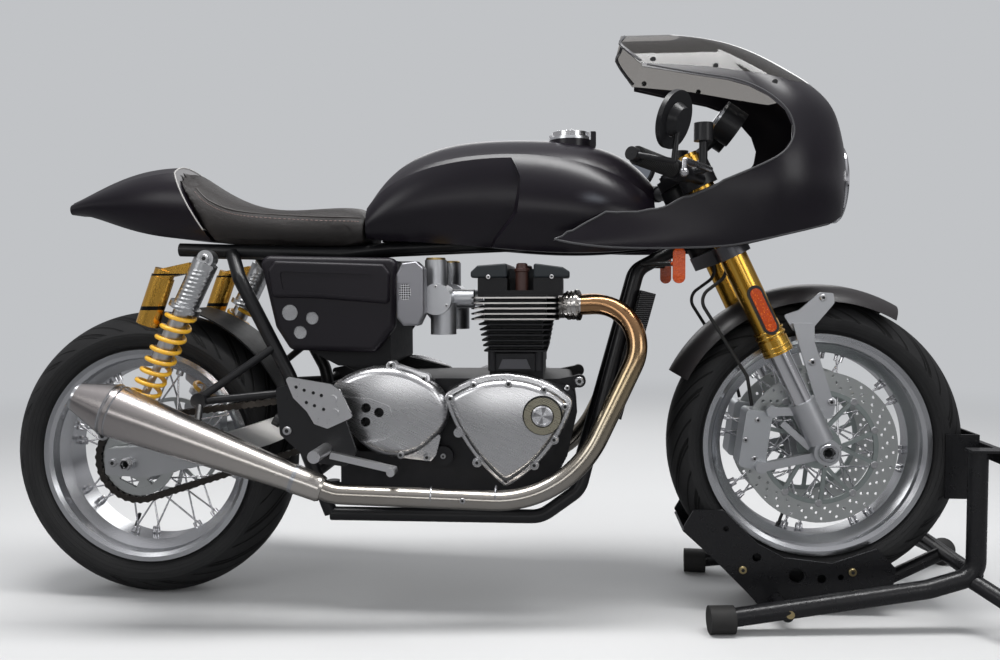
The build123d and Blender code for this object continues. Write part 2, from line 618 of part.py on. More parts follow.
def shock_bodies():
    """The dampers: both eyes, the upper body, the shaft and the lower spring seat."""
    top_eye = disc_y(SHOCK_TOP, -SHOCK_Y - 13, -SHOCK_Y + 13, 17)
    low_eye = disc_y(SHOCK_LOW, -SHOCK_Y - 13, -SHOCK_Y + 13, 15)
    body = rod(shock_point(0.02), shock_point(0.27), DAMPER_R)
    seat_high = rod(shock_point(0.27), shock_point(0.30), 32)
    core = rod(shock_point(0.27), shock_point(0.62), 19)
    shaft = rod(shock_point(0.6), shock_point(0.97), 8)
    seat_low = rod(shock_point(0.90), shock_point(0.93), 32)
    bolt_top = disc_y(SHOCK_TOP, -SHOCK_Y + 13, -98, 8)
    bolt_low = disc_y(SHOCK_LOW, -SHOCK_Y + 13, -SWING_Y - 6 - SEAT_GAP, 8)
    return both(fuse(top_eye, low_eye, body, seat_high, core, shaft, seat_low, bolt_low))


def shock_springs():
    start, end = Vector(*shock_point(0.3)), Vector(*shock_point(0.90))
    along = (end - start).normalized()
    length = (end - start).length - 2 * WIRE_R - 2 * SEAT_GAP
    plane = Plane(origin=start + along * (WIRE_R + SEAT_GAP), x_dir=(0, 1, 0), z_dir=along)
    coil = Helix(pitch=length / SPRING_TURNS, height=length, radius=SPRING_R)
    section = Plane(origin=coil @ 0, z_dir=coil % 0) * Circle(WIRE_R)
    return both(plane * sweep(section, path=coil, is_frenet=True))


def shock_reservoirs():
    """The gold bottles behind the dampers, with the bright bridge from each damper's head."""
    bottle = rod((92, -SHOCK_Y, 694), (57, -SHOCK_Y, 598), 22.5)
    cap = rod((92, -SHOCK_Y, 694), (97, -SHOCK_Y, 708), 20)
    arm = bar_y((96, 701), (154, 713), 20, -SHOCK_Y - 12, -SHOCK_Y + 12)
    arm = arm - rod(shock_point(-0.1), shock_point(0.27), DAMPER_R + SEAT_GAP)
    return both(fuse(bottle, cap, arm))


# Engine

CASE_Y = 138.0                # the covers' joint faces
CASE_SIDE = 120.0             # the case between the covers
OUTPUT = (505.0, 423.0)       # gearbox shaft
SMALL_SPROCKET_R = 30.0
WELL_FLOOR = -80.0

# Outlines of the covers; every second point is the middle of an arc
CLUTCH_OUTLINE = ((660, 458), (786, 500), (918, 448), (864, 342), (783, 274), (704, 360))
SPROCKET_OUTLINE = ((436, 476), (536, 514), (634, 484), (669, 428), (640, 370), (566, 333), (482, 372), (446, 420))
LEAF_OUTLINE = ((420, 476), (522, 472), (594, 416), (530, 366), (430, 400), (420, 440))
COVER_BOLTS = ((675, 452), (722, 479), (791, 482), (860, 471), (901, 438), (879, 371), (840, 320), (784, 288), (727, 324),
               (690, 383))
COVER_CAP = (857.0, 421.0)


def crankcase():
    """The crankcase: a middle block, a flange behind each cover, the well of the small sprocket and the shaft."""
    outline = [(440, 236), (440, 330), (400, 380), (402, 470), (470, 486), (915, 486), (925, 420), (905, 330), (868, 258),
               (800, 232)]
    block = plate_y(outline, -CASE_SIDE, CASE_SIDE, 14)
    flanges = [plate_y(points, -CASE_Y, -CASE_SIDE, corner) for points, corner in
               (([(436, 344), (432, 470), (540, 512), (636, 488), (672, 428), (646, 362), (634, 326), (566, 326)], 14),
                ([(660, 470), (786, 502), (916, 470), (922, 430), (872, 330), (783, 262), (700, 330), (664, 430)], 20))]
    flanges = both(flanges).solids()
    sender = both(disc_y((655, 330), -CASE_SIDE - 16, -CASE_SIDE + 1, 20))
    sump = Pos(716, 0, 226) * Box(150, 150, 24)
    ear = bar_y((890, 474), (929, 482), 24, -CASE_SIDE, -CASE_SIDE + 14) + disc_y((929, 482), -CASE_SIDE - 4, -CASE_SIDE + 14, 13)
    well = plate_y([(380, 338), (380, 482), (590, 482), (590, 338)], -CASE_Y - 5, WELL_FLOOR)
    shaft = disc_y(OUTPUT, -CHAIN_Y - 6, WELL_FLOOR, 14)
    wheel = disc_y(OUTPUT, -CHAIN_Y - SPROCKET_T / 2, -CHAIN_Y + SPROCKET_T / 2, SMALL_SPROCKET_R)
    whole = fuse(block, *flanges, *sender.solids(), sump, ear, mirror(ear, Plane.XZ))
    return fuse(whole - well, shaft, wheel)


FIN_PITCH = 10.6
FIN_T = 3.0
FIN_LOW = 542.5
BARREL_FINS = 6
FOOT_LOW = 504.5              # clears the flanges of the case
HEAD_FINS = 5
BARREL_C = 802.0
BARREL_TOP = FIN_LOW + BARREL_FINS * FIN_PITCH - (FIN_PITCH - FIN_T) / 2
HEAD_TOP = BARREL_TOP + HEAD_FINS * FIN_PITCH
FIN_LONG, FIN_WIDE = 174.0, 322.0
PORT = (900.0, -93.9, 632.3)
PORT_R = 25.0


def fin(low, inset):
    """One cooling fin round the barrels."""
    sheet = Pos(BARREL_C, 0, low + FIN_T / 2) * Box(FIN_LONG - 2 * inset, FIN_WIDE - inset, FIN_T)
    return fillet(sheet.edges().filter_by(Axis.Z), 12)


def cylinders():
    """The barrels: a core with a stack of cooling fins that narrows downwards, and a wide foot with stud bosses."""
    shape = Pos(BARREL_C, 0, (486 + BARREL_TOP) / 2) * Box(108, 236, BARREL_TOP - 486)
    shape = shape + Pos(BARREL_C, 0, FOOT_LOW + 17) * Box(108, 280, 34)
    for i in range(BARREL_FINS):
        shape = shape + fin(FIN_LOW + i * FIN_PITCH, 24 - 2 * i)
    for x in (BARREL_C - 47, BARREL_C + 47):
        for y in (-140, 140):
            shape = shape + Solid.make_cylinder(8, FIN_LOW + 1 - FOOT_LOW, Plane((x, y, FOOT_LOW)))
    return shape


CAM_JOINT = HEAD_TOP + 34
CAM_TOP = HEAD_TOP + 63


def cam_box(x_out, x_in, slope):
    """The housing of one camshaft across the head: a lower tier, and a cover whose outer top edge slopes."""
    lean = 14 if x_in > x_out else -14
    lower = plate_y([(x_out + lean, HEAD_TOP - 4), (x_out + lean, CAM_JOINT), (x_in, CAM_JOINT), (x_in, HEAD_TOP - 4)], -130, 130, 3)
    lid = plate_y([(x_out, CAM_JOINT), (x_out, CAM_JOINT + 12), (x_out + lean, CAM_TOP - slope), (x_in, CAM_TOP),
                   (x_in, CAM_JOINT)], -134, 134, 5)
    for face in (lid.faces().sort_by(Axis.Y)[0], lid.faces().sort_by(Axis.Y)[-1]):
        lid = fillet(lid.edges().filter_by(lambda e, f=face: any(e.is_same(o) for o in f.edges())), 4)
    return lower + lid


def cylinder_head():
    """The finned head with its exhaust ports, two cam boxes across it and the bridge between them."""
    shape = Pos(BARREL_C, 0, (BARREL_TOP + HEAD_TOP) / 2) * Box(124, 280, HEAD_TOP - BARREL_TOP)
    first = BARREL_TOP + (FIN_PITCH - FIN_T) / 2
    for i in range(HEAD_FINS):
        shape = shape + fin(first + i * FIN_PITCH, 0)
    deck = Pos(BARREL_C + 9, 0, HEAD_TOP + 4) * Box(150, 264, 10)
    bridge = Pos(BARREL_C + 9, 0, HEAD_TOP + 28) * Box(120, 110, 50)
    port = rod((850, -80.3, 629.7), PORT, PORT_R)
    return fuse(shape, deck, cam_box(712, 785, 4), cam_box(910, 838, 8), bridge, port, mirror(port, Plane.XZ))


def clutch_cover():
    """The domed three-cornered cover with its bolt bosses."""
    face = bowed(CLUTCH_OUTLINE)
    flange = pad_y(face, -CASE_Y - 26, -CASE_Y, 20, 3)
    dome = pad_y(offset(face, -9), -CASE_Y - 46, -CASE_Y - 20, 16, 14)
    bosses = [disc_y(spot, -CASE_Y - 30, -CASE_Y, 9.5) for spot in COVER_BOLTS]
    return fuse(flange, dome, *bosses)


def sprocket_cover():
    """The oval cover on the right: a dome with a leaf-shaped hollow, a raised pad and three round windows."""
    dome = pad_y(bowed(SPROCKET_OUTLINE), -CASE_Y - 38, -CASE_Y, 20, 16)
    foot = plate_y([(558, 346), (566, 329), (632, 322), (642, 334), (654, 380)], -CASE_Y - 12, -CASE_Y, 6)
    ears = bar_y((552, 514), (628, 490), 16, -CASE_Y - 22, -CASE_Y)
    bosses = [disc_y(spot, -CASE_Y - 24, -CASE_Y, 11) for spot in ((556, 514), (622, 490))]
    leaf = pad_y(bowed(LEAF_OUTLINE), -CASE_Y - 45, -CASE_Y - 31, 8, 1)
    pad = plate_y([(430, 455), (515, 450), (552, 436), (558, 419), (541, 399), (500, 388), (440, 400)],
                  -CASE_Y - 35, -CASE_Y - 30, 9)
    shape = fuse(dome, foot, ears, *bosses) - leaf + pad
    windows = [disc_y(spot, -CASE_Y - 60, -CASE_Y - 16, 9.5) for spot in ((506, 432), (532, 423), (505, 404))]
    return shape - Compound(children=windows)


def engine_covers():
    """The bright covers: two on each side of the crankcase, and the filler cap on the right one."""
    cap = disc_y(COVER_CAP, -CASE_Y - 56, -CASE_Y - 40, 37) - disc_y(COVER_CAP, -CASE_Y - 60, -CASE_Y - 54, 21)
    left_gear = pad_y(bowed(SPROCKET_OUTLINE), -CASE_Y - 24, -CASE_Y, 20, 10)
    return group(clutch_cover() + cap, sprocket_cover(), mirror(clutch_cover(), Plane.XZ), mirror(left_gear, Plane.XZ))


CHAIN_HALF = 5.5              # half height of the side plates between two rollers
CHAIN_LINK_R = 7.6            # radius of a link's rounded end
CHAIN_W = 18.0
CHAIN_PITCH = 15.9


def chain():
    """The drive chain: one closed loop round both sprockets, its outline waved by the links' round ends."""
    rear_r = SPROCKET_R + CHAIN_LINK_R + 0.6
    front_r = SMALL_SPROCKET_R + CHAIN_LINK_R + 0.6

    def loop(offset):
        ends = [Pos(*REAR) * Circle(rear_r + offset), Pos(*OUTPUT) * Circle(front_r + offset)]
        return make_hull((Sketch() + ends).edges())
    middle = loop(0).wire()
    band = loop(CHAIN_HALF) - loop(-CHAIN_HALF)
    count = 2 * round(middle.length / CHAIN_PITCH / 2)
    for i in range(count):
        band = band + Pos(*tuple(middle @ (i / count))[:2]) * Circle(CHAIN_LINK_R)
    upright = Plane(origin=(0, -CHAIN_Y + CHAIN_W / 2, 0), x_dir=(1, 0, 0), z_dir=(0, -1, 0))
    return extrude(upright * band, CHAIN_W)


HANGER_Y = 206.0
PEG = (436.0, 357.0)
UPRIGHT_FACE = 142.3
HEEL_HOLES = ((379, 478), (395, 472), (413, 467), (429, 462), (399, 448), (415, 442), (433, 435))


def foot_controls():
    """Rear-set hangers with heel plates and pegs on both sides, the brake pedal and the gear lever."""
    hanger = plate_y([(336, 476), (366, 482), (468, 432), (496, 350), (474, 322), (404, 330), (344, 384)],
                     -HANGER_Y - 8, -HANGER_Y, 8)
    heel = plate_y([(356, 499), (448, 484), (466, 472), (491, 420), (440, 397), (414, 406), (400, 430), (373, 457)],
                   -HANGER_Y - 13, -HANGER_Y - 8, 6)
    peg = disc_y(PEG, -HANGER_Y - 96, -HANGER_Y, 12)
    posts = [disc_y((x, z), -HANGER_Y, -UPRIGHT_FACE, 9) for x, z in ((345.5, 460), (357.5, 400))]
    pedal = bar_y((446, 346), (574, 318), 13, -HANGER_Y - 20, -HANGER_Y - 8)
    toe = disc_y((570, 319), -HANGER_Y - 46, -HANGER_Y - 14, 8)
    holes = [disc_y(spot, -HANGER_Y - 14, -HANGER_Y - 10, 3.4) for spot in HEEL_HOLES]
    heads = [disc_y(spot, -HANGER_Y - 17, -HANGER_Y - 13, 8) for spot in ((451, 455), (455, 428))]
    return both(fuse(hanger, heel, peg, pedal, toe, *posts, *heads) - Compound(children=holes))


STAND_PIVOT = (520.0, 157.0, 196.0)
STAND_AXIS = Vector(0, -0.967, -0.255)
STAND_L = 178.0


def side_stand():
    """The side stand, folded back along the left lower rail."""
    x, y, z = STAND_PIVOT
    eye = rod(Vector(*STAND_PIVOT) - STAND_AXIS * 5, Vector(*STAND_PIVOT) + STAND_AXIS * 5, 15)
    y, z = y + 3.4, z + 0.9
    leg = rod((x - 8, y, z), (x - STAND_L, y, z + 4), 8)
    foot = rod((x - STAND_L + 6, y, z - 8), (x - STAND_L + 6, y, z + 16), 15)
    return fuse(eye, leg, foot)


def stand_bracket():
    """The frame's lug with the pin that the side stand turns on."""
    centre = Vector(*STAND_PIVOT)
    return rod(centre + STAND_AXIS * 5.5, centre + STAND_AXIS * 34, 13)


HANGER_EYE = (171.0, 447.0)


def silencer_hangers():
    """A V of thin tubes on each side that carries a silencer's strap on a rubber eye."""
    eye = disc_y(HANGER_EYE, -196, -166, 15)
    up = rod((305, -134, 548), (HANGER_EYE[0] + 6, -181, HANGER_EYE[1] + 8), 8)
    low = rod((344, -132, 458), (HANGER_EYE[0] + 6, -181, HANGER_EYE[1] - 2), 8)
    return fuse(eye, up, low)


CARRIER_X = 1290.0


def front_carrier():
    """The tube that runs forward from the head tube to the lamp and the fairing."""
    start = on_leg(540, 0, -YOKE_OFFSET + HEAD_TUBE_R - 4)
    neck = rod(start, (CARRIER_X, 0, 880), 11)
    cross = disc_y((CARRIER_X, 880), -168, 168, 9)
    return neck + cross


LAMP_C = 882.0
LAMP_R = 82.0
LAMP_FRONT = 1469.0


def headlamp():
    """The round headlamp: a bowl behind a domed glass."""
    profile = [(0, LAMP_FRONT + 4), (40, LAMP_FRONT + 1), (LAMP_R - 6, LAMP_FRONT - 8), (LAMP_R, LAMP_FRONT - 16),
               (LAMP_R, LAMP_FRONT - 40), (66, LAMP_FRONT - 84), (40, CARRIER_X + 9 + SEAT_GAP), (0, CARRIER_X + 9 + SEAT_GAP)]
    face = make_face(Polyline(*[(x, 0, LAMP_C + r) for r, x in profile], close=True))
    return revolve(face, Axis((0, 0, LAMP_C), (1, 0, 0)), 360)


def instruments():
    """Two round dials on a bridge, tilted towards the rider, carried on a stalk from the top yoke's front."""
    face = Plane(origin=(1214, 0, 1012), x_dir=(0, 1, 0), z_dir=(-0.82, 0, 0.57))
    cans = [extrude(face * Pos(u, 0) * Circle(38), -44) for u in (-43, 43)]
    bridge = extrude(face * Rectangle(60, 40), -36)
    low = HEAD_HIGH + YOKE_GAP + YOKE_HIGH_T + SEAT_GAP
    foot = leg_bar(low, low + 16, 11, 0, 14)
    stalk = rod(on_leg(low + 12, 0, 14), (1228, 0, 990), 9)
    return fuse(cans[0], cans[1], bridge, foot, stalk)


def lamps():
    """Tall amber reflectors beside the cooler, each on a stem from a down tube."""
    plane = Plane(origin=(1125, -128, 712), x_dir=(1, 0, 0), z_dir=(0, 1, 0))
    lens = extrude(plane * SlotOverall(70, 24, rotation=90), 10)
    stem = rod((1054.95, -72.8, 716), (1120, -119, 716), 5)
    return both(lens + stem)


FILLER_X = 911.0
NECK_TOP = 984.0
NECK_R = 44.0
LID_R = 38.0
LID_T = 11.0
HINGE_X = FILLER_X + LID_R + 10


def filler_neck():
    """The bright ring round the filler, with the two hinge ears of its lid."""
    ring = Solid.make_cylinder(NECK_R, 34, Plane((FILLER_X, 0, NECK_TOP - 34)))
    ears = [plate_y([(HINGE_X - 8, NECK_TOP - 20), (HINGE_X - 8, NECK_TOP + 12), (HINGE_X + 6, NECK_TOP + 12),
                     (HINGE_X + 6, NECK_TOP - 20)], y, y + 5, 3) for y in (-15.3, 10.3)]
    return fuse(ring, *ears)


def filler_lid():
    """The flip-up lid over the filler, hinged at its front edge."""
    low = NECK_TOP + SEAT_GAP
    disc = Solid.make_cylinder(LID_R, LID_T, Plane((FILLER_X, 0, low)))
    tongue = plate_y([(FILLER_X + 20, low + 1), (FILLER_X + 20, low + LID_T), (HINGE_X, low + LID_T), (HINGE_X, low + 1)], -9, 9)
    knuckle = disc_y((HINGE_X, NECK_TOP + 6.3), -10, 10, 5.5)
    tab = plate_y([(FILLER_X - LID_R - 6, low), (FILLER_X - LID_R - 6, low + 5), (FILLER_X - 20, low + 5), (FILLER_X - 20, low)], -9, 9)
    return fuse(disc, tongue, knuckle, tab)


HOSE_R = 3.5


def brake_hoses():
    """The front brake hoses, clipped along the backs of the legs from the lower yoke down to the calipers."""
    top = HEAD_LOW - YOKE_GAP - YOKE_LOW_T - SEAT_GAP
    points = [on_leg(top, -74, -16), on_leg(top - 30, -74, -16), (1168, -84, 648), (1268, -80, 488), (1280, -66, 428)]
    return both(pipe(points, HOSE_R, 28))


def rear_guard():
    """The black guard between the rear tyre and the engine, with the tab that seats it on the arms' bridge."""
    cx, cz = REAR
    face = BRIDGE_X - SEAT_GAP
    tab = plate_y([(face - 6, cz + 78), (face - 6, cz + 89), (face, cz + 89), (face, cz + 78)], -30, 30)
    inner, outer = REAR_TYRE_R + 18, REAR_TYRE_R + 21
    ring = disc_y(REAR, -74, 74, outer) - disc_y(REAR, -80, 80, inner)
    wedge = plate_y([(cx, cz), around(REAR, 500, 13.5), around(REAR, 620, 45), around(REAR, 500, 74)], -100, 100)
    return (ring & wedge) + tab


PANEL_IN = 128.0


def air_box():
    """The closed box between the side panels."""
    top = 742 - FRAME_R - SEAT_GAP
    return plate_y([(376, 545), (376, top), (548, top), (548, 512), (440, 512)], -PANEL_IN + SEAT_GAP, PANEL_IN - SEAT_GAP, 8)


def rear_caliper():
    """The small rear brake caliper on the left, over the disc's upper front."""
    cx, cz = around(REAR, 100, 35)
    y0 = REAR_DISC_Y - 18
    block = plate_y([(cx - 32, cz - 20), (cx - 32, cz + 20), (cx + 32, cz + 20), (cx + 32, cz - 20)], y0, REAR_DISC_Y + 28, 6)
    slot = disc_y(REAR, REAR_DISC_Y - 8, REAR_DISC_Y + 8, REAR_DISC_R + RUN_GAP)
    stay = bar_y((cx + 10, cz - 8), (cx + 24, cz - 36), 16, REAR_DISC_Y + 16, SWING_Y - SWING_T / 2 - SEAT_GAP)
    return block - slot + stay


def throttle_bodies():
    rear_face = BARREL_C - FIN_LONG / 2 - SEAT_GAP
    duct_z = HEAD_TOP - 8
    body = rod((560, -88, duct_z), (rear_face, -88, duct_z), 19)
    cap = rod((640, -118, 662), (640, -118, 726), 22)
    face = disc_y((645, 647), -158, -70, 31)
    bowl = rod((655, -118, 576), (655, -118, 640), 26)
    return both(fuse(body, cap, face, bowl))


def intake_trims():
    """Grey eight-sided caps over the outer ends of the intake ducts, each with a sunken grille."""
    outline = [(573, 696), (584, 718), (612, 722), (628, 708), (628, 618), (617, 596), (586, 596), (573, 612)]
    cap = plate_y(outline, -196, -158 - SEAT_GAP, 5)
    cap = fillet(cap.faces().sort_by(Axis.Y)[0].edges(), 5)
    return both(cap - plate_y([(577, 645), (577, 680), (603, 680), (603, 645)], -200, -192, 3))


def radiator():
    """The cooler between the down tubes."""
    plane = Plane(origin=(1034, 0, 532), x_dir=(0, 1, 0), z_dir=(0.966, 0, -0.26))
    return extrude(plane * Rectangle(196, 264), 15, both=True)


PIPE_R = 20.0
SILENCER_AXIS = ((432.0, -232.0, 281.0), (-38.0, -264.0, 462.0))


def header_pipes():
    """The two exhaust pipes from the head's ports round to the silencers, each with its clamp at the port."""
    start, end = Vector(*SILENCER_AXIS[0]), Vector(*SILENCER_AXIS[1])
    last = start - (end - start).normalized() * SEAT_GAP
    out = Vector(0.963, -0.264, 0.05)
    first = Vector(*PORT) + out * SEAT_GAP
    elbow = start - (end - start).normalized() * 25
    points = [tuple(first), tuple(first + out * 200), (904, -192, 250), tuple(elbow), tuple(last)]
    tube = pipe(points, PIPE_R, [88, 220, 90])
    clamp = [rod(tuple(first + out * a), tuple(first + out * b), r) for a, b, r in ((2, 32, 26), (6, 10, 29), (15, 19, 29), (25, 30, 31))]
    return both(fuse(tube, *clamp))


def silencers():
    """Long reverse-cone silencers."""
    start, end = Vector(*SILENCER_AXIS[0]), Vector(*SILENCER_AXIS[1])
    along = end - start
    plane = Plane(origin=start, z_dir=along)
    length = along.length
    rows = [(0, 24), (0.012, 26.5), (0.108, 28), (0.11, 26.2), (0.84, 51), (0.87, 51), (1.0, 28)]
    profile = [(r, 0, length * s) for s, r in rows] + [(0, 0, length), (0, 0, 0)]
    face = make_face(Polyline(*profile, close=True))
    return both(plane * revolve(face, Axis.Z, 360))


# Bodywork

def hull_section(x, sill, half, mid, shoulder, high, top, bottom):
    """A rounded section across the bike: flat floor, bowed sides and an arched top."""
    floor = Line((-sill, bottom), (sill, bottom))
    right = ThreePointArc((sill, bottom), (half, mid), (shoulder, high))
    roof = ThreePointArc((shoulder, high), (0, top), (-shoulder, high))
    left = ThreePointArc((-shoulder, high), (-half, mid), (-sill, bottom))
    return across(x) * make_face(Wire([floor, right, roof, left]))


def hull(rows):
    """A body lofted through sections; each row is x, sill, half, mid, shoulder, high, top, bottom."""
    return loft(Sketch() + [hull_section(*row) for row in rows])


TANK_ROWS = (
    # x, sill, half, mid, shoulder, high, top, bottom
    (492, 88, 104, 800, 70, 838, 852, 772),
    (560, 100, 124, 815, 92, 896, 930, 766),
    (700, 108, 138, 830, 104, 934, 976, 756),
    (860, 108, 142, 840, 104, 934, 978, 742),
    (1000, 94, 120, 830, 84, 898, 950, 742),
    (1083, 62, 74, 818, 48, 846, 882, 748),
)
KNEE_DEPTHS = (2, 11, 20, 23, 23, 10)
KNEE_OUTLINE = ((440, 690), (440, 1010), (762, 1010), (786, 921), (795, 886), (786, 823), (752, 772), (728, 690))


def knee_hollow():
    """What is cut from the tank's right side for the knee, down to a narrower hull; its edges slope."""
    rows = [(x, sill - deep, half - deep, mid, shoulder + 4, high, top + 12, bottom - 6)
            for (x, sill, half, mid, shoulder, high, top, bottom), deep in zip(TANK_ROWS, KNEE_DEPTHS)]
    plane = Plane(origin=(0, -86, 0), x_dir=(1, 0, 0), z_dir=(0, -1, 0))
    outline = make_face(Polyline(*KNEE_OUTLINE, close=True))
    block = extrude(plane * fillet(outline.vertices(), 14), 76, taper=-20)
    return block - hull(rows)


def tank():
    """The fuel tank, with knee hollows in its sides and a tunnel over the frame."""
    body = hull(TANK_ROWS)
    tunnel = Pos(790, 0, 770) * Box(700, 2 * RAIL_IN + 2 * FRAME_R + 14, 2 * 46)
    hollow = knee_hollow()
    return body - hollow - mirror(hollow, Plane.XZ) - tunnel + filler_neck()


COWL_ROWS = (
    (-176, 22, 34, 846, 24, 854, 862, 832),
    (-90, 52, 78, 852, 58, 880, 898, 816),
    (0, 76, 106, 858, 82, 902, 926, 790),
    (84, 90, 118, 862, 92, 912, 932, 776),
    (172, 102, 122, 850, 94, 905, 925, 768),
)
JOIN_TOP = (38.2, 1000.0)     # the slanted line where the cowl meets the pad
JOIN_LOW = (205.0, 700.0)
JOIN_GAP = 0.35


def tail_cowl():
    """The seat's tail, cut off along the slanted join."""
    keep = plate_y([(-300, JOIN_LOW[1]), (-300, JOIN_TOP[1]), JOIN_TOP, JOIN_LOW], -200, 200)
    return hull(COWL_ROWS) & keep


SEAT_ROWS = (
    (60, 92, 118, 866, 92, 930, 950, 776),
    (140, 104, 122, 826, 100, 876, 892, 766),
    (210, 110, 124, 804, 108, 842, 856, 764),
    (370, 104, 116, 796, 100, 826, 838, 759),
    (491.7, 90, 100, 794, 84, 822, 834, 764),
)


def seat_pad():
    """The stepped seat pad, behind the tank and in front of the slanted join."""
    keep = plate_y([(JOIN_TOP[0] + JOIN_GAP, JOIN_TOP[1]), (700, JOIN_TOP[1]), (700, JOIN_LOW[1]),
                    (JOIN_LOW[0] + JOIN_GAP, JOIN_LOW[1])], -200, 200)
    return hull(SEAT_ROWS) & keep


def side_panels():
    """The covers beside the air box: a soft-edged panel, raised above its crease, with a bare bay and three round vents."""
    outline = [(283, 737), (567, 730), (561, 592), (520, 540), (346, 545), (316, 592)]
    body = plate_y(outline, -PANEL_IN - 24, -PANEL_IN, 18)
    body = fillet(body.faces().sort_by(Axis.Y)[0].edges(), 12)
    upper = plate_y([(312, 652), (304, 706), (318, 726), (540, 718), (554, 700), (552, 638), (408, 650)], -PANEL_IN - 32,
                    -PANEL_IN - 20, 10)
    upper = fillet(upper.faces().sort_by(Axis.Y)[0].edges(), 7)
    bay = plate_y([(336, 666), (330, 704), (520, 697), (522, 651)], -PANEL_IN - 40, -PANEL_IN - 30, 7)
    vents = [disc_y(spot, -PANEL_IN - 40, -PANEL_IN - 20, r) for spot, r in (((347, 621), 16.5), ((393, 610), 13), ((368, 581), 13.5))]
    return both(body + upper - Compound(children=[bay, *vents]))


FAIRING_T = 3.5
SCREEN_T = 3.0
FAIRING_ROWS = (
    # z, nose, half, rear_half
    (730, 1425, 168, 150),
    (776, 1452, 179, 158),
    (822, 1467, 186, 148),
    (870, 1474, 190, 151),
    (940, 1469, 182, 152),
    (1000, 1456, 164, 146),
    (1045, 1433, 146, 138),
    (1090, 1381, 124, 122),
    (1130, 1317, 98, 98),
    (1165, 1238, 66, 66),
    (1188, 1140, 26, 26),
)
FAIRING_REAR = 860.0


def bubble_section(z, nose, half, rear_half, inset):
    half, rear_half, nose = half - inset, rear_half - inset, nose - inset
    start = nose - 1.1 * half
    flank = (start + 0.74 * (nose - start), half * 0.70)
    plane = Plane(origin=(0, 0, z), x_dir=(1, 0, 0), z_dir=(0, 0, 1))
    edges = [Line((FAIRING_REAR, -rear_half), (start, -half)),
             ThreePointArc((start, -half), (flank[0], -flank[1]), (nose, 0)),
             ThreePointArc((nose, 0), (flank[0], flank[1]), (start, half)),
             Line((start, half), (FAIRING_REAR, rear_half)),
             Line((FAIRING_REAR, rear_half), (FAIRING_REAR, -rear_half))]
    return plane * make_face(Wire(edges))


def bubble(thickness):
    outer = loft(Sketch() + [bubble_section(*row, 0) for row in FAIRING_ROWS])
    inner = loft(Sketch() + [bubble_section(*row, thickness) for row in FAIRING_ROWS])
    return outer - inner


SEAM = [(1052, 1112), (1178, 1100), (1293, 1080), (1345, 1068), (1420, 1075), (1520, 1060)]
FAIRING_EDGE = [(1520, 837), (1452, 809), (1412, 789), (1345, 773), (1247, 752), (1185, 745), (1058, 743), (960, 748),
                (877, 762), (905, 778), (980, 816), (1078, 820), (1127, 841), (1200, 871), (1273, 901), (1310, 922),
                (1327, 948), (1330, 975), (1318, 1005), (1290, 1034), (1255, 1056), (1215, 1070), (1150, 1083), (1052, 1104)]
SCREEN_EDGE = [(1520, 1240), (1030, 1240), (1008, 1160), (1048, 1112 + SEAT_GAP)]


def fairing():
    """The fairing's shell, open at the back and below, with the lamp's round window."""
    window = Solid.make_cylinder(LAMP_R + SEAT_GAP, 200, Plane((1380, 0, LAMP_C), z_dir=(1, 0, 0)))
    return (bubble(FAIRING_T) & plate_y(SEAM + FAIRING_EDGE, -400, 400)) - window


def screen():
    raised = [(x, z + SEAT_GAP) for x, z in SEAM]
    return bubble(SCREEN_T) & plate_y(raised + SCREEN_EDGE, -400, 400)


FRONT_BORE = FRONT_SHAFT_R + SHAFT_GAP
REAR_BORE = REAR_SHAFT_R + SHAFT_GAP

